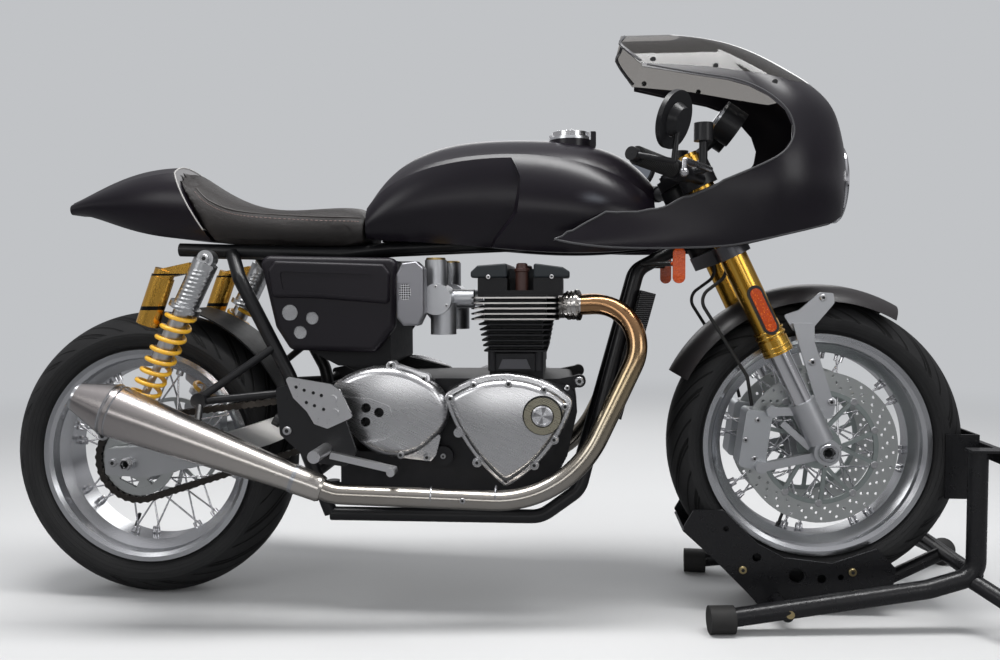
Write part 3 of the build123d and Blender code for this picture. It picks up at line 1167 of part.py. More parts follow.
NODES = {
    "front_tyre": lambda: tyre(FRONT, FRONT_TYRE_R, FRONT_TYRE_W, FRONT_RIM_W),
    "front_rim": lambda: rim(FRONT, FRONT_RIM_W),
    "front_hub": lambda: hub(FRONT, FRONT_HUB_Y, FRONT_HUB_R, 34, (DISC_Y - 3, DISC_Y - 3), FRONT_BORE),
    "front_spokes": lambda: spokes(FRONT, FRONT_HUB_Y, FRONT_HUB_R, 7, 58),
    "front_discs": lambda: both(brake_disc(FRONT, -DISC_Y, DISC_R, CARRIER_R + 1, DISC_T, 30, 3.2)),
    "front_disc_carriers": lambda: both(disc_carrier(FRONT, -DISC_Y, CARRIER_R + 0.7, 44, FRONT_BORE, 5)),
    "rear_tyre": lambda: tyre(REAR, REAR_TYRE_R, REAR_TYRE_W, REAR_RIM_W),
    "rear_rim": lambda: rim(REAR, REAR_RIM_W),
    "rear_hub": lambda: hub(REAR, REAR_HUB_Y, REAR_HUB_R, 40, (REAR_HUB_Y + 23, REAR_DISC_Y - 3), REAR_BORE),
    "rear_spokes": lambda: spokes(REAR, REAR_HUB_Y, REAR_HUB_R, 12, 58),
    "rear_sprocket": sprocket,
    "rear_disc": lambda: disc_carrier(REAR, REAR_DISC_Y, REAR_DISC_R, 60, REAR_BORE, 5),
    "fork_outers": fork_outers,
    "fork_stanchions": lambda: both(leg_bar(BOTTOM_TOP, OUTER_LOW, STANCHION_R, -LEG_Y)),
    "fork_bottoms": fork_bottoms,
    "front_calipers": front_calipers,
    "front_fender": front_fender,
    "front_axle": front_axle,
    "yokes": lambda: group(lower_yoke(), upper_yoke()),
    "clip_ons": clip_ons,
    "grips": grips,
    "levers": levers,
    "mirrors": mirrors,
    "brake_hoses": brake_hoses,
    "instruments": instruments,
    "chock_rails": chock_rails,
    "chock_feet": chock_feet,
    "chock_cradle": chock_cradle,
    "chock_stop": chock_stop,
    "frame": frame,
    "swingarm": swingarm,
    "rear_axle": rear_axle,
    "rear_caliper": rear_caliper,
    "shock_bodies": shock_bodies,
    "shock_springs": shock_springs,
    "shock_reservoirs": shock_reservoirs,
    "chain": chain,
    "foot_controls": foot_controls,
    "side_stand": side_stand,
    "crankcase": crankcase,
    "cylinders": cylinders,
    "cylinder_head": cylinder_head,
    "engine_covers": engine_covers,
    "throttle_bodies": throttle_bodies,
    "intake_trims": intake_trims,
    "radiator": radiator,
    "header_pipes": header_pipes,
    "silencers": silencers,
    "air_box": air_box,
    "rear_guard": rear_guard,
    "tank": tank,
    "filler_lid": filler_lid,
    "tail_cowl": tail_cowl,
    "seat_pad": seat_pad,
    "side_panels": side_panels,
    "fairing": fairing,
    "screen": screen,
    "headlamp": headlamp,
    "lamps": lamps,
}

os.makedirs("parts", exist_ok=True)
shapes = {name: make() for name, make in NODES.items()}
boxes = [shape.bounding_box() for shape in shapes.values()]
MIDDLE_X = (min(box.min.X for box in boxes) + max(box.max.X for box in boxes)) / 2
print("moved back by", round(MIDDLE_X, 3))
for name, shape in shapes.items():
    export_step(Pos(-MIDDLE_X, 0, 0) * shape, f"parts/{name}.step")
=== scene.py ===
# %% [markdown]
# # A cafe racer in its wheel chock
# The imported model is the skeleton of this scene. Its pieces already stand in the right places,
# so the work here is finish: paint, metal, rubber, leather, and the small repeated parts
# that are too fine for solid modelling.

# %% Load the frame
import bpy, bmesh, json
from math import cos, pi, radians, sin
from mathutils import Matrix, Vector
from mathutils.bvhtree import BVHTree

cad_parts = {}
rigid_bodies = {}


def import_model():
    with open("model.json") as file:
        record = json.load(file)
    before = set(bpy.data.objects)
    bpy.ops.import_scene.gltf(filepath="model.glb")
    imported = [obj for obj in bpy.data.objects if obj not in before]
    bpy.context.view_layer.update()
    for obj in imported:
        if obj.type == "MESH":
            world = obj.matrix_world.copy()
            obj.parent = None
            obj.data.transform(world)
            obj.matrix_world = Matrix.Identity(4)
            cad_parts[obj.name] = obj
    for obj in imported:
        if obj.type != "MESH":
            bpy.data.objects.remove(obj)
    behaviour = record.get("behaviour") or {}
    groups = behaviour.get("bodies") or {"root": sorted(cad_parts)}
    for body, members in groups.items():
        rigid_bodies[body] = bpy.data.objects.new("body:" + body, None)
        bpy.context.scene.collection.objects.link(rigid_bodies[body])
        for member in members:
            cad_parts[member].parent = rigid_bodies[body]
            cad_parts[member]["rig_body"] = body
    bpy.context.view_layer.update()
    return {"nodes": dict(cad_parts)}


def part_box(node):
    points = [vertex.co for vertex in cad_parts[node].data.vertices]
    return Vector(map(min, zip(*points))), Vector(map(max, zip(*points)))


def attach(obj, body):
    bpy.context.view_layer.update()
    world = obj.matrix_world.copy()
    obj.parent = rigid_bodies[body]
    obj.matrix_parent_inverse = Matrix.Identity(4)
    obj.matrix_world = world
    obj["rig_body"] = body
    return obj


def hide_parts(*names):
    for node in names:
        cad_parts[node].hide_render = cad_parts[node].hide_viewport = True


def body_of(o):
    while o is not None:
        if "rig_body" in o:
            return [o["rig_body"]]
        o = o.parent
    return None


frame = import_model()
NODES = frame["nodes"]

# %% [markdown]
# The drawing of the bike measures lengths from the rear axle and heights from the floor, in millimetres.
# One helper turns such a place into metres in this scene. The shift comes from the rear tyre's own box,
# so it stays right if the model moves.

# %% Places
low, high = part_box("rear_tyre")
REAR_X = (low[0] + high[0]) / 2


def at(x, y, z):
    """A place in mm from the rear axle's foot, as metres in the scene."""
    return Vector((x / 1000 + REAR_X, y / 1000, z / 1000))


def amid(x, z):
    """Such a place in the bike's middle plane."""
    return at(x, 0, z)


FRONT = amid(1415, 343.5)
REAR = amid(0, 310)
RAKE = radians(25.2)
UP = Vector((-sin(RAKE), 0, cos(RAKE)))
AHEAD = Vector((cos(RAKE), 0, sin(RAKE)))
ACROSS = Vector((0, 1, 0))
SIDES = (-1, 1)  # the right side, then the left
FIXED, CHASSIS = "front_end_and_chock", "chassis"


def on_leg(s, y=0.0, ahead=0.0):
    """A place along a fork leg, s mm above the axle."""
    return FRONT + Vector((0, y / 1000, 0)) + UP * (s / 1000) + AHEAD * (ahead / 1000)


def linked(name, data):
    """A new object in the scene, for a mesh, a lamp or a camera."""
    made = bpy.data.objects.new(name, data)
    bpy.context.scene.collection.objects.link(made)
    return made


print("rear axle at", [round(v, 4) for v in REAR], "front axle at", [round(v, 4) for v in FRONT])

# %% [markdown]
# ## Camera
# The photograph's camera was worked out from the wheels. It stands low on the right of the bike, near the
# front wheel, and looks almost straight across. Its three axes go into the camera's matrix as columns.

# %% Camera
YAW, PITCH, ROLL = radians(-4.487), radians(2.807), radians(0.233)
FOCAL_PX, WIDE_PX, FILM_MM = 891.8, 1000, 36.0
EYE = at(910.25, -1910.18, 672.5)
ahead = Vector((sin(YAW) * cos(PITCH), cos(YAW) * cos(PITCH), -sin(PITCH)))
side = Vector((cos(YAW), -sin(YAW), 0))
down = ahead.cross(side)
side, down = side * cos(ROLL) + down * sin(ROLL), down * cos(ROLL) - side * sin(ROLL)
camera = linked("Camera", bpy.data.cameras.new("Camera"))
camera.data.sensor_width = FILM_MM
camera.data.lens = FOCAL_PX / WIDE_PX * FILM_MM
camera.data.clip_start = 0.05
camera.matrix_world = Matrix((side, -down, -ahead)).transposed().to_4x4()
camera.location = EYE
bpy.context.scene.camera = camera
bpy.context.scene.view_settings.view_transform = "Standard"
print("camera at", [round(v, 3) for v in EYE], "lens", round(camera.data.lens, 2))

# %% [markdown]
# ## Light and floor
# Dark paint and bright metal show mostly what they reflect. Soft panels give them long highlights: one
# overhead, three in front and one behind. A pale world fills the rest. Reflections see a darker room than
# the camera does, so polished metal keeps its contrast. The lamps themselves stay out of the picture.

# %% Light
SKY, SKY_STRENGTH = (0.86, 0.88, 0.91), 0.62
PANELS = (  # name, place, what it faces, size, watts
    ("Overhead", (0.1, -0.4, 2.9), (0.1, 0, 0.5), (3.2, 0.6), 96),
    ("Front_left", (-2.2, -2.6, 1.9), (0, 0, 0.5), (1.4, 1.0), 13),
    ("Front_right", (2.6, -2.4, 1.7), (0.3, 0, 0.5), (1.2, 1.2), 13),
    ("Low_front", (0.2, -3.2, 0.9), (0.2, 0, 0.4), (2.6, 0.35), 7),
    ("Behind", (0.3, 3.0, 2.1), (0, 0, 0.6), (3.0, 1.2), 22))
ROOM_GREYS = ((0.0, 0.26), (0.12, 0.44), (0.30, 0.15), (0.80, 0.55))  # height in a reflection, grey

for name, place, aim, size, watts in PANELS:
    lamp = bpy.data.lights.new(name, "AREA")
    lamp.shape, lamp.size, lamp.size_y, lamp.energy = "RECTANGLE", *size, watts
    made = linked(name, lamp)
    made.location = place
    made.rotation_euler = (Vector(aim) - Vector(place)).to_track_quat("-Z", "Y").to_euler()
    made.visible_camera = False

world = bpy.data.worlds.new("Studio")
bpy.context.scene.world = world
world.use_nodes = True
nodes, wires = world.node_tree.nodes, world.node_tree.links
sky = nodes["Background"]
sky.inputs["Color"].default_value = (*SKY, 1)
sky.inputs["Strength"].default_value = SKY_STRENGTH
kinds = ("Background", "SeparateXYZ", "TexCoord", "ValToRGB", "LightPath", "MixShader")
mirrored, upward, coords, shades, rays, chosen = (nodes.new("ShaderNode" + kind) for kind in kinds)
for place, grey in ROOM_GREYS:
    shades.color_ramp.elements.new(place).color = (grey, grey, grey * 1.04, 1)
shades.color_ramp.elements.remove(shades.color_ramp.elements[-1])
for out_socket, in_socket in (
        (coords.outputs["Generated"], upward.inputs[0]), (upward.outputs[2], shades.inputs[0]),
        (shades.outputs[0], mirrored.inputs["Color"]), (rays.outputs["Is Glossy Ray"], chosen.inputs[0]),
        (sky.outputs[0], chosen.inputs[1]), (mirrored.outputs[0], chosen.inputs[2]),
        (chosen.outputs[0], nodes["World Output"].inputs["Surface"])):
    wires.new(out_socket, in_socket)
print("lamps", len(PANELS))

# %% Floor
ground = bmesh.new()
bmesh.ops.create_grid(ground, x_segments=1, y_segments=1, size=30)
mesh = bpy.data.meshes.new("Floor")
ground.to_mesh(mesh)
floor = linked("Floor", mesh)
print("floor faces", len(mesh.polygons))

# %% [markdown]
# ## Shader maths
# A finish is a Principled surface fed by a few patterns. The Wire class wraps a socket, so that
# `1 - wear * 0.5` writes itself as Math nodes. The Finish class makes any other node with one method.

# %% Wires


class Wire:
    """A number worked out by the shader."""

    def __init__(self, finish, socket):
        self.finish, self.socket = finish, socket

    def _sum(self, kind, a, b=None):
        values = {i: v for i, v in enumerate((a, b)) if v is not None}
        return self.finish.add("ShaderNodeMath", {"operation": kind}, values)

    def __add__(self, other): return self._sum("ADD", self, other)
    def __radd__(self, other): return self._sum("ADD", other, self)
    def __sub__(self, other): return self._sum("SUBTRACT", self, other)
    def __rsub__(self, other): return self._sum("SUBTRACT", other, self)
    def __mul__(self, other): return self._sum("MULTIPLY", self, other)
    def __rmul__(self, other): return self._sum("MULTIPLY", other, self)
    def __pow__(self, other): return self._sum("POWER", self, other)
    def wave(self): return self._sum("SINE", self)
    def size(self): return self._sum("ABSOLUTE", self)
    def saw(self): return self._sum("FRACT", self)
    def angle(self, other): return self._sum("ARCTAN2", self, other)
    def least(self, other): return self._sum("MINIMUM", self, other)
    def most(self, other): return self._sum("MAXIMUM", self, other)
    def over(self, other): return self._sum("GREATER_THAN", self, other)
    def far(self, other): return (self * self + other * other) ** 0.5

    def step(self, start, end):
        """0 before start, 1 after end, smooth between them."""
        return self.finish.add("ShaderNodeMapRange", {"interpolation_type": "SMOOTHSTEP"},
                               {"Value": self, "From Min": start, "From Max": end}, "Result")

    def ridges(self, pitch_turns):
        """Even ridges from 0 to 1, pitch_turns radians of wave in a metre."""
        return (self * pitch_turns).wave() * 0.5 + 0.5


# %% Finishes


class Finish:
    """One material: a Principled surface and the nodes that feed it."""

    def __init__(self, name, colour, roughness, metallic=0.0, **fixed):
        self.material = bpy.data.materials.new(name)
        self.material.use_nodes = True
        self.tree = self.material.node_tree
        self.shader = self.tree.nodes["Principled BSDF"]
        self.place = self.add("ShaderNodeTexCoord", {}, {}, "Object")
        self.feed("Base Color", (*colour, 1))
        self.feed("Roughness", roughness)
        self.feed("Metallic", metallic)
        for socket, value in fixed.items():
            self.feed(socket.replace("_", " "), value)

    def add(self, kind, settings=None, sockets=None, out=0):
        """Any node: its type, its settings, then the values or wires of its sockets."""
        node = self.tree.nodes.new(kind)
        for name, value in (settings or {}).items():
            if name == "stops":
                ramp = node.color_ramp
                while len(ramp.elements) < len(value):
                    ramp.elements.new(0.5)
                for element, (place, colour) in zip(ramp.elements, value):
                    element.position, element.color = place, (*colour, 1)
            else:
                setattr(node, name, value)
        for name, value in (sockets or {}).items():
            self._set(node.inputs[name], value)
        return Wire(self, node.outputs[out])

    def _set(self, socket, value):
        if isinstance(value, Wire):
            self.tree.links.new(value.socket, socket)
        else:
            socket.default_value = value

    def feed(self, name, value):
        self._set(self.shader.inputs[name], value)
        return self

    def axis(self, index):
        """X, Y or Z of the place on the piece, in metres."""
        return self.add("ShaderNodeSeparateXYZ", {}, {0: self.place}, index)

    def radius(self, centre):
        """The distance from an axle that runs across the bike."""
        return (self.axis(0) - centre[0]).far(self.axis(2) - centre[2])

    def turn(self, centre):
        """The angle round such an axle."""
        return (self.axis(2) - centre[2]).angle(self.axis(0) - centre[0])

    def mapped(self, scale=(1, 1, 1), turn=(0, 0, 0)):
        """The place, turned first and stretched after, so a grain can run along any line."""
        turned = self.add("ShaderNodeMapping", {}, {"Vector": self.place, "Rotation": turn})
        return self.add("ShaderNodeMapping", {}, {"Vector": turned, "Scale": scale})

    def along(self, value):
        """A place that moves along X with a number, for noise in rings or rays."""
        return self.add("ShaderNodeCombineXYZ", {}, {0: value, 1: 0.0, 2: 0.0})

    def noise(self, scale, detail=3.0, rough=0.55, vector=None):
        sockets = {"Vector": vector or self.place, "Scale": scale, "Detail": detail, "Roughness": rough}
        return self.add("ShaderNodeTexNoise", {}, sockets)

    def cells(self, scale, feature="F1"):
        return self.add("ShaderNodeTexVoronoi", {"feature": feature}, {"Vector": self.place, "Scale": scale})

    def mix(self, mask, first, second):
        """A colour between two, by a mask."""
        node = self.tree.nodes.new("ShaderNodeMix")
        node.data_type = "RGBA"
        for index, value in ((0, mask), (6, first), (7, second)):
            self._set(node.inputs[index], value if index == 0 or isinstance(value, Wire) else (*value, 1))
        return Wire(self, node.outputs[2])

    def ramp(self, value, stops):
        return self.add("ShaderNodeValToRGB", {"stops": stops}, {"Fac": value})

    def bump(self, height, distance, strength=1.0):
        """Relief from a height of 0 to 1; distance is its real depth in metres."""
        return self.feed("Normal", self.add(
            "ShaderNodeBump", {}, {"Height": height, "Distance": distance, "Strength": strength}))

    def colour(self, mask, first, second):
        """The base colour, between two by a mask."""
        return self.feed("Base Color", self.mix(mask, first, second))

    def mottle(self, scale, first, second, detail=3.0):
        """A colour that drifts between two."""
        return self.colour(self.noise(scale, detail), first, second)

    def wear(self, least, spread, scale):
        """A roughness that differs from place to place."""
        return self.feed("Roughness", least + self.noise(scale) * spread)

    def relief(self, scale, distance, strength, detail=3.0):
        """Fine grain all over."""
        return self.bump(self.noise(scale, detail), distance, strength)


def dress(finish, *names):
    """Gives CAD nodes a finish."""
    for name in names:
        NODES[name].data.materials.clear()
        NODES[name].data.materials.append(finish.material)
    return finish


print("shader helpers are ready")

# %% [markdown]
# ## Floor finish
# A plain pale floor keeps the eye on the machine and takes its shadow. Far from the bike it glows
# in the colour of the world behind it, so that no horizon line cuts through the picture.

# %% Floor finish
NEAR, FAR = 1.9, 5.0
pale = Finish("Pale_floor", (0.60, 0.60, 0.60), 0.55)
far = pale.axis(0).far(pale.axis(1)).step(NEAR, FAR)
near_colour = pale.mix(pale.noise(0.8, 2.0), (0.58, 0.58, 0.58), (0.62, 0.62, 0.62))
pale.colour(far, near_colour, (0, 0, 0))
pale.feed("Emission Color", pale.mix(far, (0, 0, 0), tuple(c * SKY_STRENGTH for c in SKY)))
pale.feed("Emission Strength", 1.0)
pale.feed("Specular IOR Level", 0.0)
dim = pale.add("ShaderNodeBsdfDiffuse", {}, {"Color": (0.20, 0.20, 0.205, 1)})
reflected = pale.add("ShaderNodeLightPath", {}, {}, "Is Glossy Ray")
shown = pale.add("ShaderNodeMixShader", {}, {0: reflected, 1: Wire(pale, pale.shader.outputs[0]), 2: dim})
pale.tree.links.new(shown.socket, pale.tree.nodes["Material Output"].inputs["Surface"])
floor.data.materials.append(pale.material)
print("floor glows beyond", FAR, "m")

# %% [markdown]
# ## Paint
# The tank, tail, panels and fairing wear a satin black with a hint of violet. Satin paint is black in its
# body and milky in its highlights: a middle roughness, and the faint orange peel of a sprayed surface. The
# tank node holds the filler's bright neck too, so a mask by place turns that ring to metal.

# %% Satin paint
FILLER_X = 911
FILLER = amid(FILLER_X, 984)
NECK_RADIUS, NECK_DEPTH = 0.0455, 0.0052
SATIN_BLACKS = (0.004, 0.004, 0.006), (0.009, 0.006, 0.010)


def paint(name, roughness, coat):
    """The body paint at one degree of gloss."""
    made = Finish(name, (0.012, 0.011, 0.014), roughness, Coat_Weight=coat, Coat_Roughness=0.25,
                  Specular_IOR_Level=0.30)
    made.mottle(3.0, *SATIN_BLACKS, 2.0).wear(roughness - 0.03, 0.06, 18.0)
    return made.relief(420.0, 0.00003, 0.4, 2.0)


dress(paint("Satin_black_paint", 0.31, 0.06), "tail_cowl", "fairing")
dress(paint("Soft_black_paint", 0.42, 0.0), "side_panels")
guard = dress(paint("Guard_paint", 0.36, 0.05), "front_fender")
guard.mottle(3.0, (0.014, 0.013, 0.014), (0.024, 0.021, 0.022))
tank = dress(paint("Tank_paint", 0.29, 0.10), "tank")
neck = 1 - (tank.axis(0) - FILLER.x).far(tank.axis(1)).over(NECK_RADIUS)
neck = neck * tank.axis(2).over(FILLER.z - NECK_DEPTH)
tank.colour(neck, tank.mix(tank.noise(3.0, 2.0), *SATIN_BLACKS), (0.72, 0.73, 0.75))
tank.feed("Metallic", neck)
print("filler at", [round(v, 3) for v in FILLER])

# %% [markdown]
# ## Bright metals
# Polished alloy, ground steel and chrome differ in the length and direction of their fine scratches.
# A noise stretched along one direction makes a brushed grain: its scale is larger across the scratches.

# %% Metals
METALS = (  # name, colour, roughness, the grain's scale along X, Y and Z, and the nodes that wear it
    ("Polished_alloy", (0.74, 0.74, 0.75), 0.22, (200, 200, 200), "filler_lid"),
    ("Rim_alloy", (0.66, 0.67, 0.69), 0.22, (90, 700, 90), "front_rim", "rear_rim"),
    ("Arm_alloy", (0.60, 0.61, 0.62), 0.34, (30, 500, 500), "swingarm"),
    ("Yoke_grey", (0.12, 0.12, 0.13), 0.36, (500, 500, 500), "yokes"),
    ("Lever_alloy", (0.62, 0.62, 0.64), 0.28, (200, 200, 200), "levers"),
    ("Carrier_grey", (0.36, 0.40, 0.39), 0.40, (300, 300, 300), "front_disc_carriers"),
    ("Caliper_silver", (0.62, 0.64, 0.66), 0.36, (400, 400, 400), "front_calipers", "rear_caliper"),
    ("Spoke_steel", (0.78, 0.78, 0.80), 0.16, (200, 200, 200), "front_spokes", "rear_spokes"),
    ("Intake_grey", (0.30, 0.30, 0.32), 0.36, (300, 300, 300), "intake_trims"),
    ("Zinc_screw", (0.56, 0.56, 0.57), 0.30, (400, 400, 400)),
    ("Yellow_zinc", (0.62, 0.50, 0.26), 0.30, (400, 400, 400)),
    ("Trim_silver", (0.55, 0.56, 0.58), 0.25, (300, 300, 300)),
    ("Bronze_cap", (0.40, 0.29, 0.12), 0.30, (300, 300, 300)))


def metal(name, colour, roughness, grain, turn=(0, 0, 0), depth=0.00001, spread=0.12, shade=0.12):
    """A bare metal with a grain."""
    made = Finish(name, colour, roughness, 1.0)
    lines = made.noise(1.0, 3.0, 0.6, made.mapped(grain, turn))
    made.mottle(9.0, tuple(c * (1 - shade) for c in colour), colour)
    made.feed("Roughness", (roughness - spread / 2) + lines * spread)
    return made.bump(lines, depth, 0.5)


bare = {}
for name, colour, roughness, grain, *names in METALS:
    bare[name] = dress(metal(name, colour, roughness, grain), *names)
alloy, yoke_grey, spoke = bare["Polished_alloy"], bare["Yoke_grey"], bare["Spoke_steel"]
zinc, brass = bare["Zinc_screw"], bare["Yellow_zinc"]
trim_metal, cap_bronze = bare["Trim_silver"], bare["Bronze_cap"]
chrome = metal("Stanchion_chrome", (0.80, 0.80, 0.82), 0.08, (300, 900, 300), spread=0.05)
dress(chrome, "fork_stanchions")
dress(metal("Cast_silver", (0.58, 0.59, 0.61), 0.40, (500, 500, 500), depth=0.00005),
      "fork_bottoms", "throttle_bodies", "front_axle", "rear_axle", "front_hub", "rear_hub")
print("metals", len(bare) + 2)

# %% [markdown]
# ## Engine covers
# The covers are domed castings with brushed faces. Their dome is relief: a height that falls with the square
# of the distance from each cover's middle. Masks by place draw the clutch cover's cap, and paint its two
# grooves and the three openings in the sprocket cover near black: painted shade for the shadow inside them.

# %% Engine covers
CAP, WINDOWS = (857, 421), ((506, 432), (532, 423), (505, 404))
CAP_RADIUS, WINDOW_RADIUS, COVER_SPLIT_X = 0.0368, 0.0096, 668
SPROCKET_DOME, CLUTCH_DOME, DOME_FALL, DOME_DEPTH = (545, 425), (790, 395), 44.0, 0.022
OUTER_GROOVE, INNER_GROOVE = 0.0375, 0.0215
covers = dress(Finish("Brushed_cover_alloy", (0.66, 0.66, 0.67), 0.24, 1.0), "engine_covers")
strokes = covers.noise(1.0, 4.0, 0.6, covers.mapped((12, 12, 620), (0, radians(-24), 0)))
rear_cover = 1 - covers.axis(0).over(amid(COVER_SPLIT_X, 0).x)
dome = covers.radius(amid(*SPROCKET_DOME)) * rear_cover
dome = dome + covers.radius(amid(*CLUTCH_DOME)) * (1 - rear_cover)
from_cap = covers.radius(amid(*CAP))
cap_plate = 1 - from_cap.over(CAP_RADIUS)
groove = (from_cap - OUTER_GROOVE).size().step(0.0022, 0.0006)
groove = groove.most((from_cap - INNER_GROOVE).size().step(0.0014, 0.0004))
shaded_opening = covers.axis(1) * 0
for x, z in WINDOWS:
    shaded_opening = shaded_opening.most(1 - covers.radius(amid(x, z)).over(WINDOW_RADIUS))
shaded_opening = shaded_opening * (1 - covers.axis(1).over(0.0))
plain = covers.mix(strokes, (0.60, 0.60, 0.61), (0.70, 0.70, 0.71))
plain = covers.mix(cap_plate, plain, (0.46, 0.43, 0.33))
# Painted shade: the grooves and the openings are coloured near black, and the openings lose their metal.
covers.colour((shaded_opening + groove).least(1.0), plain, (0.008, 0.008, 0.008))
covers.feed("Metallic", 1 - shaded_opening)
covers.feed("Roughness", 0.22 + strokes * 0.12)
covers.bump((1 - dome * dome * DOME_FALL) * (1 - cap_plate) + strokes * 0.0009, DOME_DEPTH)
print("windows", len(WINDOWS))

# %% [markdown]
# ## Dampers and discs
# The upper part of each damper is threaded for its spring ring, and the discs carry the fine rings
# of their grinding. Both are relief in the material, over a height or over the distance from the axle.

# %% Dampers and discs
THREAD_PITCH, THREAD_FROM, THREAD_TO = 0.009, 0.66, 0.88
damper = dress(metal("Damper_silver", (0.66, 0.67, 0.68), 0.30, (300, 300, 300)), "shock_bodies")
low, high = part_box("shock_bodies")
tall = high.z - low.z
thread = (damper.axis(2) * (2 * pi / THREAD_PITCH) + damper.axis(0) * 160.0).wave() * 0.5 + 0.5
threaded = damper.axis(2).step(low.z + THREAD_FROM * tall, low.z + (THREAD_FROM + 0.02) * tall)
threaded = threaded * (1 - damper.axis(2).step(low.z + THREAD_TO * tall, low.z + (THREAD_TO + 0.02) * tall))
damper.bump(thread * threaded, 0.0007, 0.7)

discs = metal("Ground_disc_steel", (0.60, 0.62, 0.61), 0.30, (420, 420, 420))
front_half = discs.axis(0).over((FRONT.x + REAR.x) / 2)
far_out = discs.radius(FRONT) * front_half + discs.radius(REAR) * (1 - front_half)
rings = discs.noise(1.0, 2.0, 0.5, discs.along(far_out * 900.0))
discs.feed("Roughness", 0.20 + rings * 0.22).bump(rings, 0.00001, 0.5)
dress(discs, "front_discs", "rear_disc", "rear_sprocket")
print("damper height", round(tall, 3))

# %% [markdown]
# ## Gold
# Gold anodising keeps the drawn lines of the tube under it, which run along the leg. The grain is stretched
# along the rake, and a second, wider pattern of dark and bright gold bands along the leg is painted
# reflection:
# it stands in for the streaks of reflected room that show on the real legs.
# Two black rings belt each shock's gold bottle.

# %% Gold
gold = metal("Gold_anodised", (0.80, 0.46, 0.08), 0.24, (900, 900, 6), (0, RAKE, 0), spread=0.16, shade=0.3)
painted_reflection_bands = gold.noise(1.0, 2.0, 0.5, gold.mapped((160, 160, 1.5), (0, RAKE, 0)))
# Painted reflection: the base colour is wide dark and bright streaks along the leg.
gold.feed("Base Color", gold.ramp(painted_reflection_bands, [
    (0.30, (0.42, 0.20, 0.02)), (0.48, (0.72, 0.40, 0.06)),
    (0.62, (0.86, 0.56, 0.14)), (0.75, (0.60, 0.32, 0.04))]))
dress(gold, "fork_outers")
low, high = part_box("shock_reservoirs")
bottle = metal("Reservoir_gold", (0.78, 0.46, 0.10), 0.26, (300, 300, 12), depth=0.000004)
climb = (bottle.axis(2) - low.z) * (1 / (high.z - low.z))
belt = (climb.over(0.28) * (1 - climb.over(0.34))).most(climb.over(0.80) * (1 - climb.over(0.83)))
warm = bottle.mix(bottle.noise(12.0), (0.70, 0.36, 0.05), (0.84, 0.50, 0.11))
bottle.colour(belt, warm, (0.02, 0.02, 0.02))
dress(bottle, "shock_reservoirs")
print("bottle height", round(high.z - low.z, 3))

# %% [markdown]
# ## Exhaust
# Steel pipes turn straw and bronze where they are hottest, just below the ports, and stay grey lower down.
# A ramp over the height gives the tint. The clamps at the ports are plain bright steel, so a mask by place
# leaves them out.

# %% Heat-tinted steel
CLAMP_X, CLAMP_Z = 931.5, 0.58
hot = metal("Heat_tinted_steel", (0.60, 0.57, 0.53), 0.20, (500, 500, 30))
height = hot.axis(2)
tint = hot.ramp(height.step(0.24, 0.64) + (hot.noise(7.0) - 0.5) * 0.16, [
    (0.0, (0.46, 0.44, 0.41)), (0.30, (0.42, 0.37, 0.28)),
    (0.70, (0.44, 0.34, 0.20)), (1.0, (0.46, 0.24, 0.10))])
tint = hot.mix(hot.noise(14.0) * 0.35, tint, (0.30, 0.26, 0.21))
clamp = (1 - hot.axis(0).over(amid(CLAMP_X, 0).x)) * height.over(CLAMP_Z)
hot.colour(clamp, tint, (0.62, 0.60, 0.57))
dress(hot, "header_pipes")
can = metal("Brushed_silencer_steel", (0.56, 0.53, 0.50), 0.25, (5, 420, 420), (0, radians(-21), 0),
            0.000004, 0.10)
smoked = can.axis(0).step(REAR_X - 0.02, REAR_X + 0.38)
can.colour(smoked, (0.46, 0.43, 0.42), (0.60, 0.57, 0.53))
dress(can, "silencers")
print("clamps stand above", CLAMP_Z, "m")

# %% [markdown]
# ## Black metals, rubber and plastic
# Powder-coated tubes, wrinkle-painted castings and moulded plastic are all black, and only their texture
# tells them apart: how far the roughness wanders, and how deep and how fine the grain is.

# %% Black finishes
SOOT = (0.008, 0.008, 0.009)
coat = Finish("Powder_black", SOOT, 0.30, Specular_IOR_Level=0.35).wear(0.26, 0.16, 60.0)
dress(coat.relief(900.0, 0.00004, 0.5, 2.0), "frame", "clip_ons", "mirrors", "side_stand", "instruments")
moulded = Finish("Moulded_black", SOOT, 0.5, Specular_IOR_Level=0.2).wear(0.44, 0.14, 60.0)
dress(moulded.relief(1300.0, 0.00004, 0.5, 2.0), "rear_guard", "air_box")
wrinkle = Finish("Wrinkle_black", (0.010, 0.010, 0.011), 0.42, Specular_IOR_Level=0.25)
wrinkle.mottle(40.0, (0.006, 0.006, 0.007), (0.015, 0.015, 0.017)).relief(1100.0, 0.00008, 0.7)
dress(wrinkle, "crankcase", "cylinders")
cooler = Finish("Cooler_black", SOOT, 0.45, Specular_IOR_Level=0.25).wear(0.40, 0.15, 30.0)
dress(cooler.bump(cooler.axis(2).ridges(1570.0), 0.0012, 0.8), "radiator")
hammer = Finish("Hammered_black", SOOT, 0.28, Specular_IOR_Level=0.35).wear(0.22, 0.14, 70.0)
dress(hammer.bump(hammer.cells(230.0, "SMOOTH_F1"), 0.0005, 0.6), "chock_rails", "chock_cradle", "chock_stop")
rubber = Finish("Black_rubber", (0.018, 0.018, 0.018), 0.60, Specular_IOR_Level=0.25)
rubber.mottle(30.0, (0.012, 0.012, 0.012), (0.028, 0.027, 0.026)).relief(700.0, 0.00008, 0.6)
dress(rubber, "chock_feet", "brake_hoses")
grip = Finish("Grip_rubber", (0.012, 0.012, 0.012), 0.58, Specular_IOR_Level=0.25).wear(0.52, 0.16, 80.0)
dress(grip.bump(grip.axis(1).ridges(1300.0), 0.0008, 0.8), "grips")
